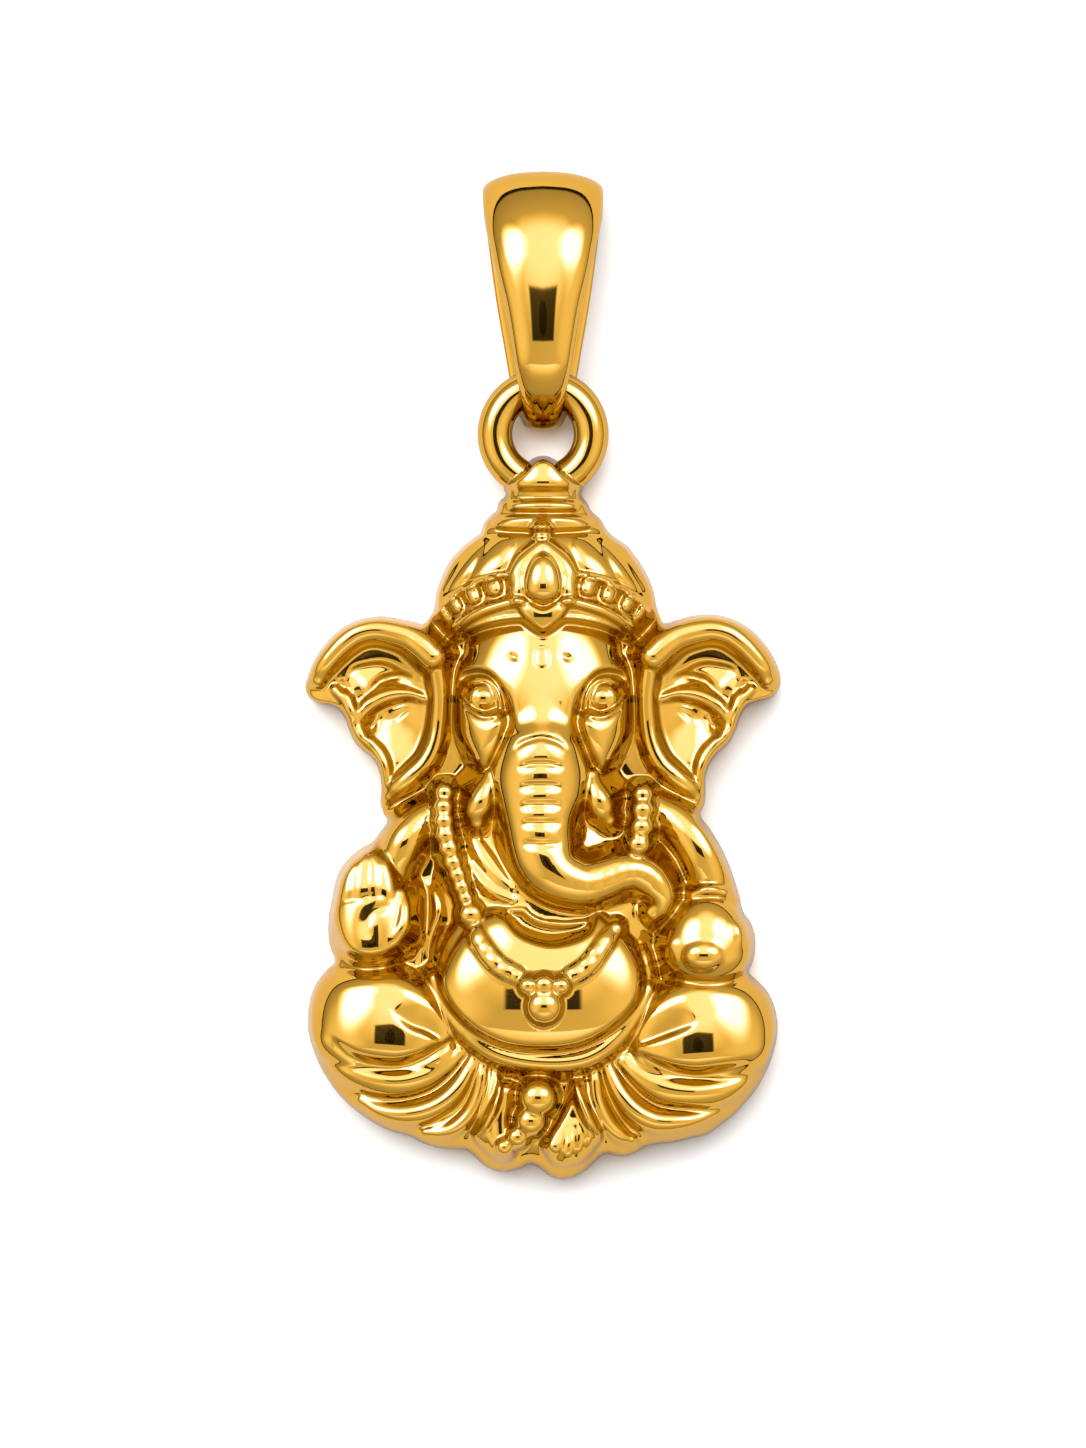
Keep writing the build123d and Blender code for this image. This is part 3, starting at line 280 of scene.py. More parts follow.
def net_line(low, high, fine_low, fine_high):
    """Places along the net, closest over the head."""
    stretches = (
        (low, fine_low, NET_COARSE),
        (fine_low, fine_high, NET_FINE),
        (fine_high, high, NET_COARSE),
    )
    spans = [np.linspace(a, b, round((b - a) / pitch), endpoint=False) for a, b, pitch in stretches]
    return np.concatenate(spans + [[high]])


def mirrored(rows):
    """The same rows on the other side of the middle line."""
    return [(-row[0],) + tuple(row[1:]) for row in rows]


def turned_over(rows):
    """A ledge's rows on the other side, low on the outer side as before."""
    return mirrored(rows)[::-1]


def ring_rows(x, y, across, up, depth, radius):
    """Rows for a groove that runs round an ellipse."""
    turns = np.linspace(0, 2 * math.pi, 17)
    return [(x + across * math.cos(t), y + up * math.sin(t), depth, radius) for t in turns]


# up, width of the rounded edge, rise over the foot wall
blank_edge = [
    (0, 34, 37), (150, 34, 37), (200, 30, 26), (300, 28, 22), (360, 24, 20), (400, 14, 14),
    (550, 14, 14), (580, 22, 28), (660, 18, 26), (717, 12, 20),
]
relief = Relief(net_line(-242, 242, -112, 112), net_line(-6, 723, 392, 664), blank_edge)


# The body under everything on it, and the thin webs that join the arms to it, with raised
# seams along their edges: brass, cast in one with all the forms that follow.
# x, y, across, up, down, turn, crest, lift
relief.mound([(0, 245, 116, 165, 130, 0, 92, 42)], soft=8)
relief.settle()
# x, y, lift, radius
seams = [
    [(-118, 200, 2, 2), (-103, 175, 3, 3), (-91, 153, 3, 3), (-73, 135, 3, 3), (-48, 120, 3, 3),
     (-38, 113, 3, 3), (0, 110, 3, 3), (32, 112, 3, 3), (57, 123, 3, 3), (82, 140, 3, 3),
     (107, 165, 3, 3), (122, 190, 2, 2)],
    [(-113, 295, 2, 2), (-106, 270, 3, 3), (-111, 250, 3, 3), (-119, 225, 3, 3), (-121, 200, 2, 2)],
    [(112, 250, 2, 2), (117, 220, 3, 3), (125, 195, 2, 2)],
]
for seam in seams:
    relief.roll(seam, soft=3)


# Each ear: a dished fan with two folds, a scalloped edge and a rolled rim, in the same cast
# brass. It grows out of the side of the head and stands lower than the face.
# x, y, across, up, down, turn, crest, lift
ear_fan = [(-150, 474, 86, 90, 104, 0, 60, 20)]
# x, y, across, up, turn, depth
ear_dishes = [(-148, 462, 30, 44, 20, 13), (148, 462, 30, 44, -20, 13)]
# x, y, crest, radius
outer_rim = [
    (-109, 518, 84, 15), (-123, 531, 82, 15.5), (-138, 539, 79, 14.5), (-163, 544, 76, 13.4),
    (-181, 541, 75, 13), (-195, 532, 74, 12.4), (-207, 520, 72, 11.5), (-217, 507, 69, 10.5),
    (-222, 495, 63, 8),
]
inner_rim = [
    (-105, 505, 76, 9), (-102, 480, 72, 9), (-103, 455, 69, 9.5), (-107, 433, 69, 10),
    (-116, 414, 69, 10.5), (-131, 399, 69, 11), (-144, 388, 65, 10), (-152, 379, 58, 7),
]
# x, y, lift, radius
scallops = [
    (-205, 485, 4, 5), (-195, 476, 6, 7), (-189, 463, 7, 7.5), (-185, 451, 4, 6), (-179, 440, 6, 7),
    (-170, 432, 5, 6), (-162, 423, 6, 7), (-157, 411, 7, 7.5), (-155, 397, 7, 7), (-154, 384, 5, 6),
]
main_fold = [
    (-182, 458, 3, 5), (-173, 468, 7, 8), (-163, 475, 9, 9), (-150, 480, 9, 9), (-133, 480, 7, 7),
    (-116, 476, 3, 4),
]
shoulder_scarf = [(-148, 363, 4, 3), (-133, 372, 6, 4), (-118, 380, 6, 4), (-103, 387, 4, 3)]
# x, y, depth, radius
high_ledge = [
    (-191, 500, 2, 2), (-185, 505, 5, 3), (-173, 508, 6, 3), (-160, 509, 6, 3), (-148, 505, 5, 3),
    (-138, 500, 2, 2),
]
low_ledge = [
    (-168, 489, 3, 2), (-160, 495, 7, 3), (-150, 498, 7, 3), (-136, 499, 4, 3), (-128, 496, 1, 2),
]
furrows = [
    [(-146, 470, 2, 3), (-135, 474, 3.5, 3), (-125, 475, 1, 2)],
    [(-149, 455, 2, 2.5), (-142, 461, 3, 2.5), (-135, 466, 2, 2.5)],
    [(-165, 456, 3, 3), (-169, 449, 7, 4), (-172, 441, 4, 3)],
    [(-183, 481, 2, 2), (-184, 475, 3, 2), (-183, 468, 2, 2)],
    [(-200, 492, 4, 3), (-197, 486, 5, 3)],
]
relief.mound(ear_fan, soft=6)
relief.mound(mirrored(ear_fan), soft=6)
relief.press(ear_dishes)
for ledge, tail in ((high_ledge, 14), (low_ledge, 9)):
    relief.ledge(ledge, tail)
    relief.ledge(turned_over(ledge), tail)
relief.settle()
for side in (list, mirrored):
    relief.roll(side(main_fold), soft=4)
    relief.roll(side(scallops), soft=4)
    for furrow in furrows:
        relief.groove(side(furrow))
    relief.bar(side(outer_rim))
    relief.bar(side(inner_rim))
    relief.roll(side(shoulder_scarf))


# The upper arms: smooth round bars of the casting that come down from the shoulders and bend
# in at the elbows, where the hands grow out of them.
# x, y, crest, radius
left_arm = [
    (-100, 369, 74, 15), (-119, 355, 84, 19), (-135, 337, 89, 20.5), (-143, 317, 87, 19),
    (-145, 297, 80, 15),
]
right_arm = [
    (112, 367, 78, 18), (129, 357, 84, 20), (145, 341, 89, 21.5), (157, 320, 90, 22),
    (164, 299, 86, 21.5), (167, 281, 80, 19),
]
relief.bar(left_arm)
relief.bar(right_arm)


# The belly, the shawl's folds over the chest, and the belt under the belly, all cast in one
# with the body. The belly is the largest smooth dome, polished like a mirror.
# x, y
belly = [
    (-76, 264), (-52, 267), (-38, 262), (-22, 245), (3, 236), (26, 238), (45, 247), (56, 263),
    (74, 252), (91, 228), (98, 205), (91, 178), (66, 152), (34, 136), (-2, 132), (-37, 136),
    (-69, 152), (-93, 178), (-105, 205), (-100, 230), (-89, 251),
]
# x, y, across, up, down, turn, crest, lift
relief.mound([(0, 176, 104, 105, 59, 0, 128, 30)], within=belly, edge=7)
relief.mound([(-96, 232, 13, 24, 24, -10, 84, 20), (98, 212, 15, 26, 26, 10, 84, 20)])
# x, y, crest, radius
belt = [
    (-106, 200, 86, 9), (-93, 172, 94, 11), (-73, 147, 98, 12), (-43, 127, 100, 12),
    (0, 119, 100, 12), (42, 123, 100, 12), (72, 143, 98, 12), (92, 170, 94, 11), (102, 190, 86, 9),
]
relief.bar(belt)
relief.settle()
# x, y, lift, radius
shawl = [
    [(-78, 352, 3, 6), (-68, 334, 6, 9), (-56, 316, 7, 10), (-44, 301, 6, 9), (-32, 290, 3, 6)],
    [(-74, 322, 3, 5), (-66, 304, 5, 7), (-50, 288, 5, 7), (-32, 279, 3, 5)],
    [(84, 377, 2, 4), (82, 352, 4, 6), (78, 330, 2, 4)],
    [(-55, 267, 2, 2), (-40, 267, 4, 2.5), (-20, 268, 4, 2.5), (-13, 262, 4, 2.5), (0, 256, 4, 2.5),
     (22, 254, 4, 2.5), (42, 256, 4, 2.5), (58, 264, 2, 2)],
]
# x, y, across, up, turn, depth
hollows = [(50, 340, 18, 22, 0, 3), (-50, 316, 22, 34, 25, 5)]
relief.press(hollows)
relief.settle()
for fold in shawl:
    relief.roll(fold, soft=3.5)


# The folded legs: a smooth thigh each side and the cloth's folds fanned out under it, in the
# same cast brass, with sharp creases cut between the folds.
# x, y
left_thigh = [
    (-236, 150), (-234, 178), (-226, 196), (-212, 207), (-190, 211), (-160, 212), (-135, 208),
    (-112, 196), (-90, 178), (-76, 152), (-80, 120), (-110, 92), (-160, 86), (-210, 98),
    (-232, 122),
]
right_thigh = [
    (236, 150), (232, 172), (222, 188), (206, 199), (184, 204), (156, 205), (132, 201), (110, 190),
    (90, 174), (76, 148), (80, 116), (110, 88), (160, 82), (208, 94), (230, 118),
]
# x, y, across, up, down, turn, crest, lift
relief.mound([(-152, 137, 86, 118, 40, -6, 106, 54)], soft=2, within=left_thigh, edge=22)
relief.mound([(154, 129, 86, 118, 40, 6, 106, 54)], soft=2, within=right_thigh, edge=22)
# x, y, crest, radius
folds = [
    [(-209, 129, 74, 8), (-198, 121, 82, 16), (-178, 113, 88, 23), (-148, 108, 92, 28),
     (-123, 111, 92, 27), (-98, 121, 88, 20), (-85, 130, 84, 13)],
    [(-179, 81, 72, 5), (-163, 75, 80, 10), (-143, 71, 84, 14), (-121, 73, 86, 16),
     (-101, 82, 88, 15), (-85, 96, 88, 13), (-73, 112, 86, 9), (-68, 122, 84, 6)],
    [(-117, 49, 72, 4), (-103, 51, 78, 8), (-88, 57, 82, 11), (-76, 69, 84, 12), (-68, 84, 86, 11),
     (-62, 101, 86, 8), (-59, 115, 84, 5)],
    [(-67, 47, 74, 4), (-59, 60, 80, 7), (-53, 77, 84, 8), (-49, 95, 84, 7), (-48, 109, 82, 4)],
    [(202, 109, 74, 8), (192, 103, 82, 15), (172, 96, 88, 22), (147, 95, 92, 27), (122, 97, 92, 27),
     (97, 107, 88, 20), (82, 119, 84, 13)],
    [(172, 71, 72, 5), (155, 67, 80, 10), (135, 63, 84, 13), (112, 63, 86, 15), (94, 71, 88, 14),
     (79, 87, 88, 12), (69, 103, 86, 9), (64, 115, 84, 6)],
    [(87, 42, 74, 5), (77, 47, 80, 8), (65, 60, 84, 10), (57, 77, 86, 10), (53, 95, 86, 8),
     (51, 109, 84, 5)],
    [(55, 49, 76, 4), (47, 63, 82, 6.5), (41, 80, 84, 7), (37, 97, 84, 6)],
]
for fold in folds:
    relief.bar(fold, soft=1, share=0.85)
# x, y, depth, radius
left_creases = [
    [(-211, 144, 1, 3), (-198, 132, 6, 4), (-186, 123, 10, 5), (-168, 117, 12, 6),
     (-143, 115, 13, 6), (-121, 121, 12, 6), (-103, 131, 9, 5), (-90, 139, 3, 3)],
    [(-182, 83, 1, 2), (-163, 80, 5, 3), (-143, 80, 7, 3), (-123, 84, 8, 3), (-106, 91, 8, 3),
     (-92, 102, 6, 3), (-80, 116, 2, 2)],
    [(-118, 52, 1, 2), (-103, 55, 5, 3), (-90, 64, 7, 3), (-79, 76, 7, 3), (-71, 92, 6, 3),
     (-66, 108, 2, 2)],
]
right_creases = [
    [(204, 118, 1, 3), (186, 112, 9, 5), (168, 108, 12, 6), (150, 106, 13, 6), (130, 109, 12, 6),
     (112, 116, 9, 5), (96, 125, 3, 3)],
    [(176, 71, 1, 2), (157, 71, 5, 3), (137, 73, 7, 3), (115, 76, 8, 3), (98, 85, 8, 3),
     (86, 97, 6, 3), (75, 112, 2, 2)],
    [(92, 44, 1, 2), (80, 55, 5, 3), (70, 70, 7, 3), (62, 88, 6, 3), (58, 104, 2, 2)],
]
left_knee_crease = [(-99, 140, 2, 2), (-115, 150, 6, 3), (-130, 156, 5, 3), (-147, 168, 1, 2)]
right_knee_crease = [(150, 158, 1, 2), (137, 153, 5, 3), (119, 146, 6, 3), (97, 137, 2, 2)]
for crease in left_creases:
    relief.ledge(crease, tail=8)
for crease in right_creases:
    relief.ledge(crease[::-1], tail=8)
relief.ledge(left_knee_crease, tail=16)
relief.ledge(right_knee_crease, tail=16)
relief.settle()


# The feet crossed at the front, with their toes: low forms that stand on the folds, just
# above the casting's lower edge.
# x, y
left_foot = [
    (-43, 99), (-27, 97), (-25, 80), (-30, 65), (-30, 50), (-25, 33), (-26, 25), (-36, 18),
    (-48, 21), (-60, 31), (-69, 43), (-61, 57), (-53, 75), (-46, 90),
]
right_foot = [
    (29, 103), (22, 80), (12, 60), (2, 47), (-3, 35), (2, 25), (12, 15), (27, 14), (42, 20),
    (55, 35), (60, 45), (55, 60), (47, 75), (37, 95),
]
relief.patch(left_foot, lift=14, edge=10)
relief.patch(right_foot, lift=14, edge=10)
relief.settle()
# x, y, lift, radius
toes = [
    [(-40, 92, 2, 7), (-42, 68, 3, 8), (-41, 40, 3, 8)],
    [(-52, 52, 1, 5), (-48, 36, 3, 6)],
    [(-36, 36, 3, 7), (-34, 30, 6, 8)],
    [(19, 58, 1, 6), (14, 42, 4, 8.5), (11, 34, 6, 8)],
    [(27, 56, 1, 5), (26, 38, 4, 6), (25, 28, 4, 6)],
    [(35, 58, 1, 4), (36, 42, 3, 5), (36, 32, 4, 5)],
    [(41, 60, 1, 4), (45, 46, 3, 4.5), (46, 38, 3, 4)],
]
for toe in toes:
    relief.roll(toe, soft=1.5)


# The raised open palm on the left, leaning back from its heel, with two bracelets under it.
# It is cast with the arm behind it, and its lines are shallow cuts.
# x, y
palm = [
    (-206, 262), (-205, 285), (-201, 305), (-193, 319), (-181, 327), (-166, 329), (-152, 323),
    (-143, 308), (-139, 288), (-130, 280), (-130, 262), (-135, 243), (-146, 229), (-166, 221),
    (-184, 224), (-198, 238),
]
# x, y, across, up, down, turn, crest, lift
relief.mound([(-170, 232, 47, 104, 25, 0, 106, 33)], soft=2, within=palm, edge=7)
relief.settle()
# x, y, lift, radius
fingers = [
    [(-195, 286, 2, 7), (-194, 300, 2.5, 7), (-189, 311, 3, 6.5)],
    [(-180, 286, 2, 7), (-180, 303, 2.5, 7), (-178, 317, 3, 6.5)],
    [(-166, 287, 2, 7), (-166, 305, 2.5, 7), (-167, 319, 3, 6.5)],
    [(-152, 287, 2, 7), (-152, 300, 2.5, 7), (-155, 313, 3, 6.5)],
]
for finger in fingers:
    relief.roll(finger, soft=1)
# x, y, depth, radius
finger_line = [
    (-149, 281, 0.6, 1.5), (-160, 283, 1.6, 2), (-174, 281, 2, 2), (-188, 278, 2, 2),
    (-201, 276, 1, 1.5),
]
thumb_line = [
    (-148, 271, 0.6, 2), (-158, 269, 2, 2), (-167, 264, 2.4, 2), (-171, 253, 2, 2),
    (-168, 241, 0.6, 2),
]
relief.ledge(finger_line, tail=9)
relief.ledge(thumb_line, tail=10)
# x, y, crest, radius
thumb = [(-139, 284, 94, 6), (-136, 270, 101, 7), (-138, 253, 105, 8), (-147, 239, 104, 9)]
bracelets = [
    [(-193, 226, 76, 5), (-182, 219, 85, 5.5), (-168, 217, 88, 5.5), (-154, 220, 86, 5.5),
     (-142, 229, 77, 5)],
    [(-200, 214, 66, 4), (-183, 208, 76, 4.5), (-163, 206, 79, 4.5), (-140, 208, 70, 4)],
]
relief.bar(thumb, soft=2)
for bracelet in bracelets:
    relief.bar(bracelet, soft=2)


# The right hand closed round a sweet, with its bracelets: rounded lumps of the casting on
# the end of the arm.
# x, y, crest, radius
cuffs = [
    [(147, 283, 86, 5), (162, 288, 92, 5.5), (179, 285, 86, 5)],
    [(130, 211, 70, 4), (147, 204, 78, 5), (167, 202, 78, 5), (187, 207, 70, 4)],
    [(120, 199, 66, 3), (147, 191, 74, 4), (172, 192, 74, 4), (194, 197, 66, 3)],
]
# x, y, across, up, down, turn, crest, lift
relief.mound([(162, 233, 51, 44, 38, 0, 101, 48)])
relief.mound([(161, 226, 44, 57, 34, 0, 108, 31)], soft=2)
relief.mound([
    (189, 243, 11, 18, 18, 6, 101, 13), (158, 224, 21, 16, 16, 0, 113, 11),
    (132, 234, 12, 12, 15, 10, 100, 13),
], soft=1.5)
# x, y, lift, radius
relief.roll([(141, 214, 1, 2), (158, 212, 3, 3), (172, 215, 1, 2)], soft=1)
for cuff in cuffs:
    relief.bar(cuff, soft=2)


# The head: the broad forehead running down into the trunk, with the cheeks lower beside it.
# It is one high dome of cast brass, with the eyes' sockets sunk into it.
# x, y
half_face = [
    (-80, 565), (-79, 535), (-76, 521), (-86, 509), (-89, 490), (-89, 460), (-87, 440), (-80, 424),
    (-71, 408), (-60, 396), (-35, 388),
]
face = half_face + [(0, 386)] + mirrored(half_face)[::-1] + [(0, 590)]
# x, y, across, up, down, turn, crest, lift
relief.mound([(0, 455, 93, 130, 100, 0, 106, 52)], soft=4, within=face, edge=14)
relief.settle()
# x, y, depth, radius
cheek_groove = [
    (-43, 488, 2, 5), (-37, 476, 6, 5), (-34, 458, 8, 5), (-35, 441, 9, 5), (-41, 422, 9, 5),
    (-50, 406, 8, 4.5), (-58, 392, 4, 4),
]
brow_lines = [
    [(-34, 521, 0.6, 2.5), (-29, 517, 2.4, 3), (-24, 515, 0.6, 2.5)],
    [(19, 519, 0.6, 2.5), (24, 516, 2.4, 3), (28, 515, 0.6, 2.5)],
]
# x, y
cheek = [
    (-84, 478), (-84, 458), (-83, 441), (-76, 422), (-61, 401), (-49, 416), (-39, 438), (-36, 455),
    (-47, 460), (-58, 461), (-69, 466),
]
eye_socket = [
    (-84, 486), (-79, 500), (-70, 504), (-60, 504), (-50, 499), (-42, 488), (-37, 474), (-36, 462),
    (-46, 464), (-57, 463), (-67, 467), (-76, 475),
]
for side in (list, mirrored):
    relief.patch(side(cheek), lift=11, edge=22, soft=3)
    relief.groove(side(cheek_groove))
    relief.sink(side(eye_socket), depth=11, edge=6)
for line in brow_lines:
    relief.groove(line)


# The trunk comes down between the tusks and curls to the right over the belly. It is a round
# bar, nearly the highest part of the casting, with wrinkles cut across it.
# x, y, crest, radius
trunk = [
    (-1, 480, 100, 26), (-1, 468, 104.5, 31), (-1, 455, 110, 36), (-1, 443, 116.5, 40),
    (-1.5, 434, 120.5, 43), (-2, 422, 122.3, 47), (-2.5, 404, 123, 52), (-3, 386, 123, 51),
    (-4, 371, 123, 45), (-4, 355, 123, 39), (-2, 335, 123, 36), (2, 319, 123.5, 34),
    (11, 306, 123.5, 31), (25, 298, 122, 28), (42, 295, 119, 25), (59, 299, 115.5, 22.5),
    (77, 305, 112, 20.5), (93, 305, 109, 19), (107, 297, 106, 18), (116, 284, 103, 15),
    (116, 273, 99, 12), (109, 266, 94, 10),
]
tusks = [
    [(-52, 401, 96, 6), (-56, 389, 102, 10), (-61, 376, 105, 13), (-65, 364, 103, 13.5),
     (-65, 355, 97, 9)],
    [(49, 401, 96, 6), (51, 389, 102, 10), (55, 377, 105, 13.5), (60, 365, 103, 13),
     (65, 357, 97, 8)],
]
relief.bar(trunk, soft=6, share=0.87)
for tusk in tusks:
    relief.bar(tusk, soft=1.5)
# y, half width, sag, depth
wrinkles = [
    (438, 28, 13, 2.5), (413, 22, 4, 3), (392, 22, 2, 3.2), (373, 22, 1, 3.2), (355, 21, 0, 3.2),
    (334, 20, -2, 3),
]
for y, half, sag, depth in wrinkles:
    relief.ledge([
        (-half - 2, y - sag, 0.2, 2), (-half * 0.6 - 2, y - sag / 3, depth, 2.2), (-2, y, depth, 2.2),
        (half * 0.6 - 2, y - sag / 3, depth, 2.2), (half - 2, y - sag, 0.2, 2),
    ], tail=4.2)
# x at the top, y at the top, x at the foot, y at the foot
curl_wrinkles = [
    (33, 318, 28, 275), (46, 316, 45, 277), (57, 318, 60, 281), (68, 322, 73, 287),
    (79, 322, 84, 289), (90, 321, 93, 289), (103, 315, 97, 285), (113, 305, 101, 282),
]
for x, y, foot_x, foot_y in curl_wrinkles:
    middle = ((x + foot_x) / 2, (y + foot_y) / 2, 0.2, 1.8)
    relief.groove([(x, y, 0.1, 1.8), middle, (foot_x, foot_y, 0.1, 1.8)])


# The eyes, under heavy lids, and the mark on the forehead: small cast drops and rims, with
# fine rings cut round the pupils and the mark.
relief.settle()
# x, y, across, up, down, turn, crest, lift
eyeball = [(-59, 477, 15, 14, 15, 0, 94, 10)]
# x, y, lift, radius
upper_lid = [
    (-82, 486, 2, 2), (-74, 492, 5, 3), (-64, 495, 6, 3.5), (-55, 494, 7, 3.5), (-47, 487, 7, 3.5),
    (-42, 476, 6, 3.5), (-41, 463, 3, 2.5),
]
lower_lid = [
    (-84, 484, 2, 2.5), (-77, 473, 4, 3.4), (-68, 464, 5, 4), (-58, 459, 5, 4), (-47, 461, 4, 3.4),
    (-41, 463, 2, 2.5),
]
for side in (list, mirrored):
    relief.mound(side(eyeball), soft=1)
    relief.roll(side(upper_lid), soft=1)
    relief.roll(side(lower_lid), soft=1)
for x in (-58, 58):
    relief.groove(ring_rows(x, 477, across=9, up=9, depth=0.9, radius=1.1))
relief.groove(ring_rows(-1, 516, across=7, up=11, depth=1.3, radius=1.2))


# The domed crown: petals above, a band of beads below and a jewel at the front. All of it is
# cast brass like the rest, and the jewel is a raised oval, not a stone.
# x, y
half_foot = [(-97, 524), (-84, 537), (-64, 547), (-43, 552), (-23, 554), (-13, 550)]
half_dome = [(50, 660), (76, 640), (98, 615), (112, 585), (114, 545)]
cap = half_foot + [(0, 542)] + mirrored(half_foot)[::-1]
cap += half_dome[::-1] + [(0, 668)] + mirrored(half_dome)
# x, y, across, up, down, turn, crest, lift
relief.mound([(0, 568, 114, 101, 62, 0, 106, 68)], soft=1.5, within=cap, edge=4)
# x, y, across, up, turn, lift
petals = [(-51, 610, 14, 33, -36, 5), (-76, 605, 8.5, 30, -38, 4.2), (-92, 600, 5.5, 24, -36, 3.2)]
relief.settle()
relief.swell(petals, soft=1.5)
relief.swell([(-x, y, across, up, -turn, lift) for x, y, across, up, turn, lift in petals], soft=1.5)
relief.settle()
# x, y, lift, radius
upper_rim = [
    (-38, 598, 5, 3.5), (-50, 595, 6, 3.5), (-63, 591, 6, 3.5), (-80, 583, 6, 3.5),
    (-94, 572, 5, 3.5), (-103, 561, 3, 3),
]
lower_rim = [
    (-14, 569, 6, 5), (-28, 571, 6, 5.5), (-43, 568, 6, 5.5), (-63, 561, 6, 5.5), (-80, 550, 6, 5),
    (-94, 535, 4, 4),
]
foot_rim = [
    (0, 545, 4, 2.5), (-13, 552, 4, 2.5), (-24, 555, 4, 2.5), (-43, 553, 4, 2.5),
    (-63, 547, 4, 2.5), (-80, 538, 4, 2.5), (-94, 526, 3, 2.5),
]
for side in (list, mirrored):
    relief.roll(side(upper_rim), soft=1.5)
    relief.roll(side(lower_rim), soft=2)
    relief.roll(side(foot_rim), soft=1)
# x, y, depth, radius
bead_way = [
    (-34, 590, 3, 9), (-48, 586, 5, 10), (-69, 579, 5, 10), (-87, 568, 5, 9), (-99, 557, 3, 8),
]
for side in (list, mirrored):
    relief.groove(side(bead_way))
relief.settle()
# x, y, across, up, turn, lift
crown_beads = [
    (-49, 586, 10, 10, 0, 10), (-70, 578, 10, 10, 0, 10), (-87.5, 568, 8.5, 9.5, 20, 9),
    (-99, 558, 6.5, 8.5, 20, 7),
    (45, 586, 10, 10, 0, 10), (66, 579, 10, 10, 0, 10), (85, 570, 8.5, 10, -20, 9),
    (98, 560, 6.5, 8.5, -20, 7),
]
relief.swell(crown_beads, soft=0.6)
# x, y, lift, radius
half_frame = [
    (-24, 574, 6, 8), (-26, 586, 8, 9.5), (-26, 598, 8, 9.5), (-20, 611, 8, 9), (-11, 620, 8, 8.5),
]
relief.roll(half_frame + [(0, 628, 8, 7.5)] + mirrored(half_frame)[::-1], soft=1.5)
# x, y
leaf = [
    (-27, 576), (-14, 571), (0, 564), (14, 571), (27, 576), (23, 562), (13, 551), (0, 542),
    (-13, 551), (-23, 562),
]
# x, y, across, up, down, turn, crest, lift
relief.mound([(0, 560, 34, 26, 30, 0, 115, 14)], soft=1, within=leaf, edge=4)
relief.mound([(0, 585, 19.5, 33, 16, 0, 119, 14), (-1, 638, 10, 10, 9, 0, 99, 9)], soft=1)


# Two tiers, a thin ring and the domed tip above the crown, stacked like turned mouldings and
# cast in one with it.
# x, y, across, up, down, turn, crest, lift
relief.mound([(0, 655, 58, 60, 30, 0, 82, 40)])
# x, y
low_tier = [
    (-45, 655), (-25, 657.5), (0, 658.5), (25, 657.5), (44, 655), (50, 649), (44, 644), (25, 642),
    (0, 641), (-25, 642), (-45, 644), (-51, 649),
]
high_tier = [
    (-30, 671), (-15, 673), (1, 673.5), (17, 673), (31, 671), (35.5, 666), (31, 661), (17, 659.5),
    (1, 659), (-15, 659.5), (-30, 661), (-34.5, 666),
]
thin_ring = [
    (-24, 681), (0, 682.5), (25, 681), (28, 677.5), (25, 675), (0, 675), (-24, 675), (-27, 677.5),
]
tip = [
    (-28, 682), (-27, 692), (-20, 703), (-10, 711), (0, 714), (10, 711), (20, 703), (28, 692),
    (29, 682), (14, 682.5), (0, 683), (-14, 682.5),
]
relief.settle()
# x, y, depth, radius
relief.groove([(-52, 639, 2, 3), (-26, 640, 4, 3), (0, 640, 4, 3), (26, 640, 4, 3), (52, 639, 2, 3)])
relief.patch(low_tier, lift=11, edge=8.5, soft=0.6)
relief.patch(high_tier, lift=10, edge=7.5, soft=0.6)
relief.patch(thin_ring, lift=6, edge=4, soft=0.6)
# x, y, across, up, down, turn, crest, lift
relief.mound([(0, 687, 31, 32, 11, 0, 93, 18)], soft=1, within=tip, edge=2)


# The long necklace over the belly, the bead strand on the right and the loose beads: half
# round drops of the casting, standing on a low cord of the same brass.
relief.settle()
# x, y, lift, radius
strand = [
    (-97, 383, 7, 7), (-98, 365, 8, 9), (-96, 345, 8, 9), (-91, 327, 8, 9), (-86, 311, 8, 9),
    (-80, 297, 8, 9), (-75, 283, 7, 8),
]
collar = [
    (-73, 266, 7, 8), (-65, 242, 7.5, 10), (-46, 217, 7, 10.5), (-26, 205, 6.5, 10),
    (-16, 201, 5, 8), (16, 201, 5, 8), (25, 203, 6.5, 10), (44, 215, 7, 10.5), (61, 237, 7.5, 10),
    (71, 252, 7, 8),
]
relief.roll(strand, soft=1.5)
relief.roll(collar, soft=1.5, beads=15)
relief.settle()
# x, y, radius, crest
beads = [
    (-97, 384, 9.5, 102), (-98, 370, 10, 106), (-97.5, 356, 10.5, 108), (-96, 342, 10.5, 109),
    (-92.5, 329, 10.5, 109), (-88.5, 315, 10, 108), (-84, 303, 9.5, 108), (-80, 291, 9, 108),
    (-76, 280, 8.5, 108),
    (98, 382, 10, 104), (98, 367, 11, 108), (97, 350, 11.5, 110), (94, 333, 11.5, 110),
    (90, 319, 9, 104),
    (-71, 264, 13, 112), (71, 250, 8, 112), (-15, 195, 9.5, 141), (18, 195, 9.5, 141),
    (1, 196, 11, 144), (1, 175, 19, 146),
    (-5, 84, 18.5, 112), (-12, 61, 15, 106), (-25, 45, 11, 100), (-38, 35, 9, 96),
]
for x, y, radius, crest in beads:
    relief.mound([(x, y, radius, radius, radius, 0, crest, 0.75 * radius)], soft=1, skirt=8)


# The casting itself, one body of brass: the relief closed with an upright wall and the plain
# flat back, which is a little drawn in where it meets the surface it lies on.
SNAP_REACH = 0.35 * NET_FINE
LEAST_SLOPE = 0.3
# share of the wall's height, how far it is drawn in
wall_levels = [(0.7, 0), (0.35, 0), (0.1, 0.6), (0.03, 1.6), (0, 3)]


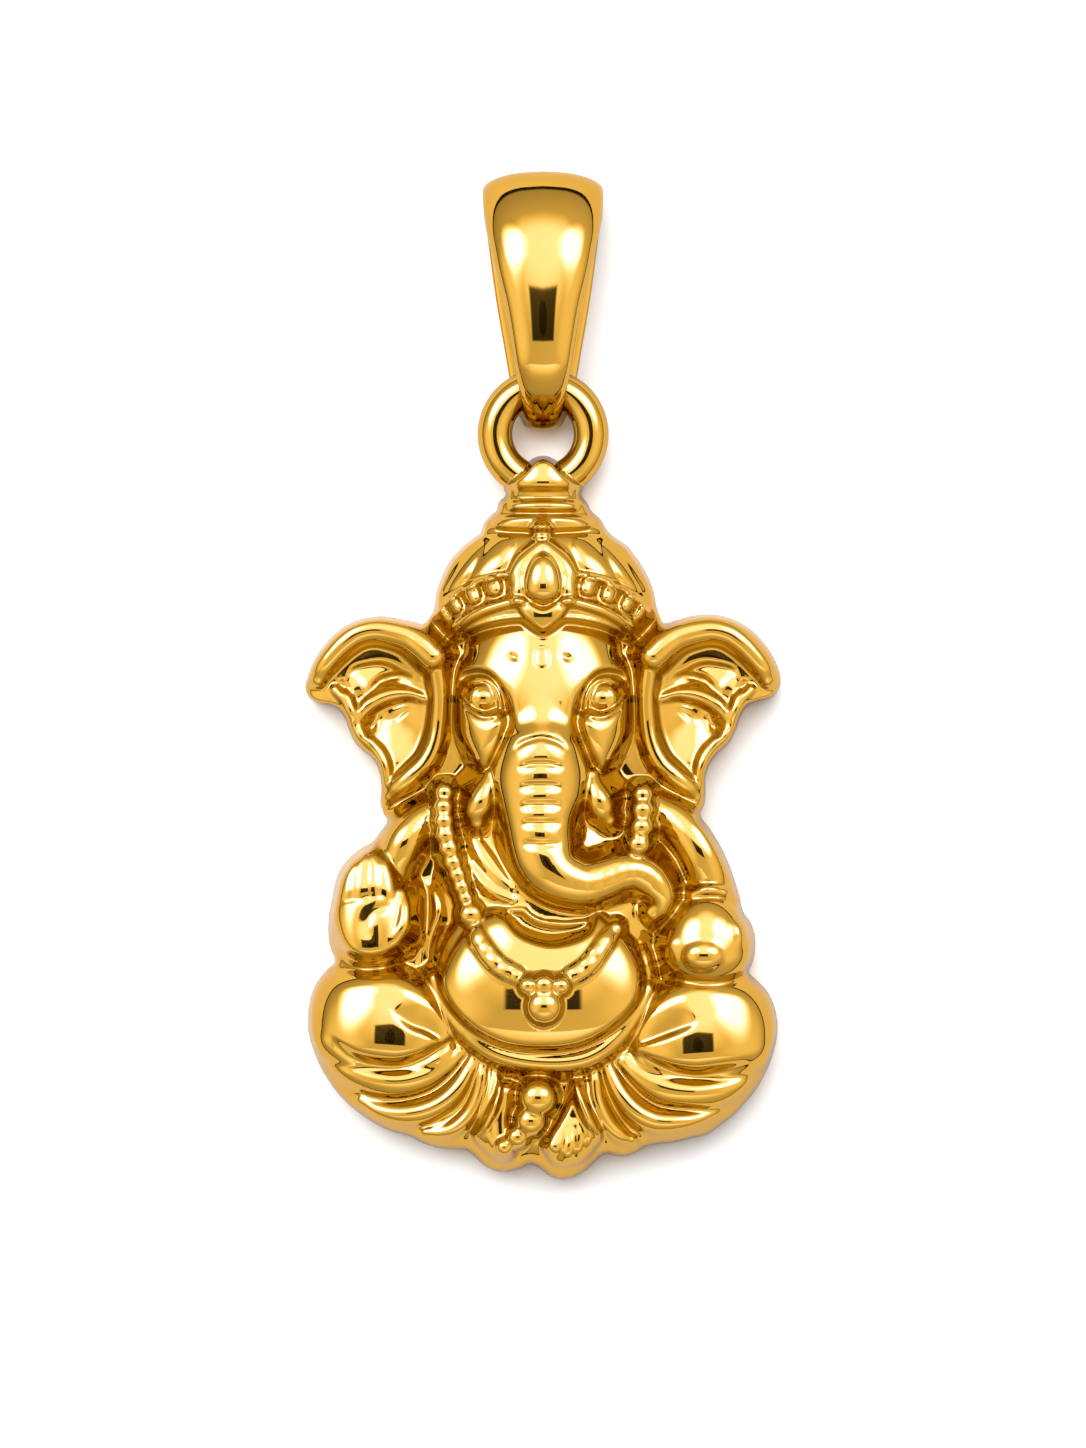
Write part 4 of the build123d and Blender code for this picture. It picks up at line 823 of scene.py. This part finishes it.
def figure_mesh():
    """The closed casting: the relief on its net, snapped to the outline, with walls and a back."""
    relief.polish()
    inside = relief.inside
    slope_y, slope_x = np.gradient(inside, relief.up, relief.across)
    steep = np.maximum(slope_x**2 + slope_y**2, LEAST_SLOPE)
    snap = np.abs(inside) < SNAP_REACH
    x = np.where(snap, relief.x - inside * slope_x / steep, relief.x)
    y = np.where(snap, relief.y - inside * slope_y / steep, relief.y)
    inside = np.where(snap, 0, inside)
    draft = FOOT_WALL + DRAFT * np.maximum(inside, 0)
    share = np.clip(0.5 + 0.5 * (draft - relief.z) / DRAFT_ROUND, 0, 1)
    height = draft + (relief.z - draft) * share - DRAFT_ROUND * share * (1 - share)
    points = []
    names = {}

    def place(a, b, share):
        """The number of the point at a share of the way from net point a to net point b."""
        key = (a, b) if share else (a,)
        if key not in names:
            names[key] = len(points)
            points.append([net[a] + share * (net[b] - net[a]) for net in (x, y, height)])
        return names[key]

    faces = []
    whole = inside > 0
    cells = whole[:-1, :-1] & whole[:-1, 1:] & whole[1:, :-1] & whole[1:, 1:]
    some = whole[:-1, :-1] | whole[:-1, 1:] | whole[1:, :-1] | whole[1:, 1:]
    for j, i in zip(*np.nonzero(some)):
        corners = [(j, i), (j, i + 1), (j + 1, i + 1), (j + 1, i)]
        if cells[j, i]:
            faces.append([place(c, c, 0) for c in corners])
            continue
        for half in (corners[:3], corners[2:] + corners[:1]):
            if max(inside[c] for c in half) <= 0:
                continue
            rim = []
            for a, b in zip(half, half[1:] + half[:1]):
                if inside[a] >= 0:
                    rim.append(place(a, a, 0))
                if inside[a] * inside[b] < 0:
                    low, high = min(a, b), max(a, b)
                    rim.append(place(low, high, inside[low] / (inside[low] - inside[high])))
            faces.append(rim)

    steps = {step for face in faces for step in zip(face, face[1:] + face[:1])}
    following = {a: b for a, b in steps if (b, a) not in steps}
    loop = [min(following)]
    while following[loop[-1]] != loop[0]:
        loop.append(following[loop[-1]])
    rim = loop
    rim_points = np.array([points[number] for number in loop])
    ahead = np.roll(rim_points, -1, axis=0)[:, :2] - np.roll(rim_points, 1, axis=0)[:, :2]
    outward = np.column_stack([ahead[:, 1], -ahead[:, 0]]) / np.linalg.norm(ahead, axis=1)[:, None]
    for level, drawn_in in wall_levels:
        start = len(points)
        for (px, py, pz), (out_x, out_y) in zip(rim_points, outward):
            points.append([px - out_x * drawn_in, py - out_y * drawn_in, pz * level])
        under = list(range(start, start + len(loop)))
        for k in range(len(loop)):
            beside = (k + 1) % len(loop)
            faces.append([rim[beside], rim[k], under[k], under[beside]])
        rim = under
    faces.append(rim[::-1])
    placed = [(p[0] * part_across, toes_y + p[1] * part_across, p[2] * part_across) for p in points]
    mesh = bpy.data.meshes.new("cast_figure")
    mesh.from_pydata(placed, [], faces)
    return mesh


cast_figure = bpy.data.objects.new("cast_figure", figure_mesh())
bpy.context.scene.collection.objects.link(cast_figure)


# The hanging ring: round brass wire bent to a ring and soldered behind the tip of the crown,
# so it and the casting are one body of metal, plated with gold and polished to a mirror.
RING_OUTER = 0.0065
RING_WIRE = 0.00173
RING_MIDDLE = 0.001815

bpy.ops.mesh.primitive_torus_add(
    location=(0, figure_high.y - RING_OUTER / 2, RING_MIDDLE),
    major_radius=(RING_OUTER - RING_WIRE) / 2,
    minor_radius=RING_WIRE / 2,
    major_segments=128,
    minor_segments=36,
)
ring = bpy.context.object
ring.name = "hanging_ring"
solder = cast_figure.modifiers.new("solder", "BOOLEAN")
solder.object = ring
solder.operation = "UNION"
solder.solver = "MANIFOLD"
bpy.context.view_layer.update()
soldered = cast_figure.evaluated_get(bpy.context.evaluated_depsgraph_get())
cast_figure.data = bpy.data.meshes.new_from_object(soldered)
cast_figure.modifiers.clear()
bpy.data.objects.remove(ring)
cast_figure.data.polygons.foreach_set("use_smooth", [True] * len(cast_figure.data.polygons))


def surface_material(name, metallic, roughness, seen, painted_shade_in_gold):
    """A material with one colour as seen and another, painted darker as shade, where gold mirrors it.
    """
    material = bpy.data.materials.new(name)
    material.use_nodes = True
    nodes, links = material.node_tree.nodes, material.node_tree.links
    shader = nodes["Principled BSDF"]
    shader.inputs["Metallic"].default_value = metallic
    shader.inputs["Roughness"].default_value = roughness
    # On glossy rays the colour switches to the darker one: painted shade where gold mirrors this
    # surface.
    ray = nodes.new("ShaderNodeLightPath")
    tone = nodes.new("ShaderNodeMix")
    tone.data_type = "RGBA"
    tone.inputs["A"].default_value = seen
    tone.inputs["B"].default_value = painted_shade_in_gold
    links.new(ray.outputs["Is Glossy Ray"], tone.inputs["Factor"])
    links.new(tone.outputs["Result"], shader.inputs["Base Color"])
    return material


# Painted shade: the plate's colour is painted deeper where it mirrors itself, so its hollows and
# creases look darker.
polished_gold = surface_material(
    "polished_gold", metallic=1, roughness=0.045, seen=(0.9, 0.478, 0.062, 1),
    painted_shade_in_gold=(0.52, 0.347, 0.028, 1),
)
cast_figure.data.materials.clear()
cast_figure.data.materials.append(polished_gold)
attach(cast_figure, "root")
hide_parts("figure")


# The bail: a tapered strap of brass sheet, crowned across, bent to a loop, plated and polished.
# It hangs loose: its foot passes through the ring and its wide head lets the chain through.
BAIL_WALL = 0.00075
BAIL_CROWN = 0.38
CROWN_ARC = 0.97
CORNER_POWER = 0.4
BAIL_STATIONS = 256
BAIL_ACROSS = 72

bail_low, bail_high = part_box("bail")
# along from foot to head, up from the surface, half width in parts, share of the crown
bail_loop = [
    (0.462, 1.0, 37.3, 1), (0.606, 0.989, 46.3, 1), (0.696, 0.96, 50.6, 1), (0.785, 0.895, 55, 1),
    (0.871, 0.786, 58, 1), (0.949, 0.634, 59.5, 0.95), (0.988, 0.5, 59.8, 0.9),
    (1.0, 0.36, 60, 0.8), (0.984, 0.18, 60, 0.5), (0.941, 0.05, 59.5, 0.2), (0.871, 0, 58.8, 0),
    (0.7, 0, 53.5, 0), (0.5, 0, 46.4, 0), (0.3, 0, 37.6, 0), (0.16, 0, 31.5, 0), (0.1, 0, 28, 0),
    (0.048, 0.045, 24, 0.3), (0.013, 0.16, 21, 0.6), (0, 0.34, 19.5, 0.9), (0.021, 0.49, 19, 1),
    (0.064, 0.64, 20, 1), (0.111, 0.77, 23, 1), (0.161, 0.866, 25.5, 1), (0.228, 0.946, 28, 1),
    (0.317, 0.987, 31, 1),
]
loop_line = curve(bail_loop, steps=16, closed=True)
loop_y = bail_low.y + loop_line[:, 0] * (bail_high.y - bail_low.y)
loop_z = loop_line[:, 1] * bail_high.z
span = np.hypot(np.roll(loop_y, -1) - loop_y, np.roll(loop_z, -1) - loop_z)
travel = np.concatenate([[0], np.cumsum(span)])
stations = np.linspace(0, travel[-1], BAIL_STATIONS, endpoint=False)
loop_y, loop_z, half_width, crown = (
    np.interp(stations, travel, np.append(column, column[0]))
    for column in (loop_y, loop_z, loop_line[:, 2] * part_across, loop_line[:, 3])
)
along_y = np.roll(loop_y, -1) - np.roll(loop_y, 1)
along_z = np.roll(loop_z, -1) - np.roll(loop_z, 1)
length = np.hypot(along_y, along_z)
out_y, out_z = -along_z / length, along_y / length
turns = np.linspace(0, 2 * math.pi, BAIL_ACROSS, endpoint=False)
across = np.sign(np.cos(turns)) * np.abs(np.cos(turns)) ** CORNER_POWER
through = np.sign(np.sin(turns)) * np.abs(np.sin(turns)) ** CORNER_POWER
bail_points = []
for y, z, half, rise, ny, nz in zip(loop_y, loop_z, half_width, crown, out_y, out_z):
    sunk = BAIL_CROWN * half * rise * (1 - np.sqrt(1 - CROWN_ARC * across**2))
    off = BAIL_WALL / 2 * (through - 1) - sunk
    bail_points += [(half * a, y + ny * o, z + nz * o) for a, o in zip(across, off)]
bail_faces = []
for s in range(BAIL_STATIONS):
    for t in range(BAIL_ACROSS):
        here, ahead = s * BAIL_ACROSS, (s + 1) % BAIL_STATIONS * BAIL_ACROSS
        beside = (t + 1) % BAIL_ACROSS
        bail_faces.append((here + t, ahead + t, ahead + beside, here + beside))
bail_mesh = bpy.data.meshes.new("chain_bail")
bail_mesh.from_pydata(bail_points, [], bail_faces)
bail_mesh.polygons.foreach_set("use_smooth", [True] * len(bail_faces))
bail_mesh.materials.append(polished_gold)
chain_bail = bpy.data.objects.new("chain_bail", bail_mesh)
bpy.context.scene.collection.objects.link(chain_bail)
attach(chain_bail, "root")
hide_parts("bail")


# The white surface that the pendant lies on: a flat sheet of matt card. The camera sees it white;
# where the polished metal mirrors it, its colour is painted a duller grey, a painted shade in the
# mirror picture.
bpy.ops.mesh.primitive_plane_add(size=0.8)
surface = bpy.context.object
surface.name = "white_surface"
surface.data.materials.append(surface_material(
    "white_card", metallic=0, roughness=0.8, seen=(0.82, 0.82, 0.82, 1),
    painted_shade_in_gold=(0.38, 0.38, 0.38, 1),
))


# The studio: a pale tent of cloth with a soft lamp behind each upper corner, dark where the tent
# meets the table and where the photographer looks in from above.
studio = bpy.data.worlds.new("studio")
studio.use_nodes = True
bpy.context.scene.world = studio
tent, join = studio.node_tree.nodes, studio.node_tree.links
backdrop = tent["Background"]
toward = tent.new("ShaderNodeTexCoord")
toward_parts = tent.new("ShaderNodeSeparateXYZ")
join.new(toward.outputs["Generated"], toward_parts.inputs["Vector"])
x, y, z = (toward_parts.outputs[axis] for axis in "XYZ")


def reckon(operation, *values):
    """A sum on numbers or sockets."""
    node = tent.new("ShaderNodeMath")
    node.operation = operation
    for socket, value in zip(node.inputs, values):
        if isinstance(value, bpy.types.NodeSocket):
            join.new(value, socket)
        else:
            socket.default_value = value
    return node.outputs[0]


def between(value, low, high):
    """0 below low, 1 above high and smooth between."""
    node = tent.new("ShaderNodeMapRange")
    node.interpolation_type = "SMOOTHSTEP"
    join.new(value, node.inputs["Value"])
    node.inputs["From Min"].default_value = low
    node.inputs["From Max"].default_value = high
    return node.outputs["Result"]


def lamp(bearing, height, inner, outer, strength):
    """A round soft lamp behind the cloth; angles in degrees, bearing from +Y to the right."""
    flat = math.cos(math.radians(height))
    place = (
        math.sin(math.radians(bearing)) * flat,
        math.cos(math.radians(bearing)) * flat,
        math.sin(math.radians(height)),
    )
    node = tent.new("ShaderNodeVectorMath")
    node.operation = "DOT_PRODUCT"
    join.new(toward.outputs["Generated"], node.inputs[0])
    node.inputs[1].default_value = place
    edge, core = math.cos(math.radians(outer)), math.cos(math.radians(inner))
    near = between(node.outputs["Value"], edge, core)
    return reckon("MULTIPLY", near, strength)


def wall(steps):
    """Brightness of the cloth by the height of the direction."""
    node = tent.new("ShaderNodeValToRGB")
    join.new(z, node.inputs["Fac"])
    first, last = node.color_ramp.elements[0], node.color_ramp.elements[1]
    first.position, last.position = steps[0][0], steps[-1][0]
    first.color, last.color = ((bright, bright, bright, 1) for bright in (steps[0][1], steps[-1][1]))
    for place, bright in steps[1:-1]:
        node.color_ramp.elements.new(place).color = (bright, bright, bright, 1)
    return node.outputs["Color"]


path = tent.new("ShaderNodeLightPath")
mirrored_ray = path.outputs["Is Glossy Ray"]
# height of the direction as a sine, brightness
side_steps = [
    (0, 0.01), (0.045, 0.01), (0.075, 0.42), (0.2, 0.5), (0.4, 0.6), (0.62, 0.7), (0.85, 0.74),
    (1, 0.72),
]
front_steps = [
    (0, 0.01), (0.045, 0.01), (0.075, 0.42), (0.25, 0.5), (0.45, 0.55), (0.6, 0.7), (0.74, 1.1),
    (0.83, 1.4), (1, 1.45),
]
# bearing, height, inner, outer, strength
tent_lamps = [
    (-52, 47, 1, 24, 1.45), (52, 47, 1, 24, 1.25), (0, 62, 14, 36, 0.76), (-95, 42, 4, 34, 0.45),
    (95, 42, 4, 34, 0.2),
]
shadow_lamp = (-18, 55, 10, 46, 6.5)
EDGE_ASIDE = 0.325
EDGE_RISE = 0.476
EDGE_LEAST = 0.6
OPENING_ACROSS = 0.23
OPENING_UP = 0.12
OPENING_LIGHT = 0.045
LENS_TOP = 0.9975
LENS_EDGE = 0.997
LENS_LIGHT = 0.25
MORE_ON_THE_RIGHT = 0.18
DEEP_RAY = 2.5
LESS_IN_DEEP_RAYS = 0.75
LESS_ON_THE_CARD = 0.4
WHITE_GAIN = 0.83
WHITE_START = 0.68
GREENER = 0.5
BLUER = 6

# The front cloth is brighter, and its upper edge runs down to both sides.
sides, front = wall(side_steps), wall(front_steps)
aside = reckon("ABSOLUTE", x)
cloth_edge = reckon("MULTIPLY_ADD", aside, EDGE_ASIDE, reckon("MULTIPLY", z, EDGE_RISE))
cloth_edge = reckon("MAXIMUM", reckon("MULTIPLY", z, EDGE_LEAST), cloth_edge)
in_front = between(reckon("SUBTRACT", reckon("MULTIPLY", y, -1), cloth_edge), -0.01, 0.01)
light = reckon("MULTIPLY_ADD", in_front, reckon("SUBTRACT", front, sides), sides)
light = reckon("MULTIPLY", light, reckon("MULTIPLY_ADD", x, MORE_ON_THE_RIGHT, 1))
# The lamps show less where the metal mirrors a mirror picture.
lamps = 0
for row in tent_lamps:
    lamps = reckon("ADD", lamp(*row), lamps)
deep = reckon("GREATER_THAN", path.outputs["Ray Depth"], DEEP_RAY)
deeper = reckon("MULTIPLY", mirrored_ray, deep)
lamps = reckon("MULTIPLY", lamps, reckon("MULTIPLY_ADD", deeper, -LESS_IN_DEEP_RAYS, 1))
light = reckon("ADD", light, lamps)
# The opening over the pendant is dark, and the lens is a darker disc in it.
from_middle = (
    reckon("DIVIDE", aside, OPENING_ACROSS),
    reckon("DIVIDE", reckon("ABSOLUTE", y), OPENING_UP),
)
below = reckon("LESS_THAN", z, 0)
opening = reckon("MAXIMUM", between(reckon("MAXIMUM", *from_middle), 0.9, 1.05), below)
lens = reckon("MAXIMUM", between(z, LENS_TOP, LENS_EDGE), below)
light = reckon("MULTIPLY", light, reckon("MAXIMUM", opening, OPENING_LIGHT))
light = reckon("MULTIPLY", light, reckon("MAXIMUM", lens, LENS_LIGHT))
# On the card the light comes mostly from one lamp, which casts the soft shadow.
dull_ray = reckon("SUBTRACT", 1, mirrored_ray)
light = reckon("MULTIPLY", light, reckon("MULTIPLY_ADD", dull_ray, -LESS_ON_THE_CARD, 1))
light = reckon("ADD", light, reckon("MULTIPLY", dull_ray, lamp(*shadow_lamp)))
# The brightest mirror pictures run over to white.
whiter = reckon("MULTIPLY_ADD", light, WHITE_GAIN, -WHITE_START)
whiter = reckon("MINIMUM", reckon("MAXIMUM", whiter, 0), 1)
first_ray = reckon("SUBTRACT", mirrored_ray, deeper)
whiter = reckon("MULTIPLY", reckon("MULTIPLY", whiter, whiter), first_ray)
green = reckon("MULTIPLY", light, reckon("MULTIPLY_ADD", whiter, GREENER, 1))
blue = reckon("MULTIPLY", light, reckon("MULTIPLY_ADD", whiter, BLUER, 1))
colour = tent.new("ShaderNodeCombineColor")
for value, socket in zip((light, green, blue), colour.inputs):
    join.new(value, socket)
join.new(colour.outputs["Color"], backdrop.inputs["Color"])
seen = tent.new("ShaderNodeBackground")
seen.inputs["Color"].default_value = (0.95, 0.95, 0.95, 1)
choose = tent.new("ShaderNodeMixShader")
join.new(path.outputs["Is Camera Ray"], choose.inputs["Fac"])
join.new(backdrop.outputs["Background"], choose.inputs[1])
join.new(seen.outputs["Background"], choose.inputs[2])
join.new(choose.outputs["Shader"], tent["World Output"].inputs["Surface"])
bpy.context.scene.view_settings.view_transform = "Standard"


# The camera looks straight down through a long lens, as in the photograph, a little below the
# middle of the pendant.
CAMERA_HEIGHT = 0.4
BELOW_MIDDLE = 0.0024

camera_data = bpy.data.cameras.new("camera")
camera_data.lens = 200
camera_data.sensor_width = 36
camera_data.clip_end = 10
camera = bpy.data.objects.new("camera", camera_data)
camera.location = (0, -BELOW_MIDDLE, CAMERA_HEIGHT)
bpy.context.scene.collection.objects.link(camera)
bpy.context.scene.camera = camera
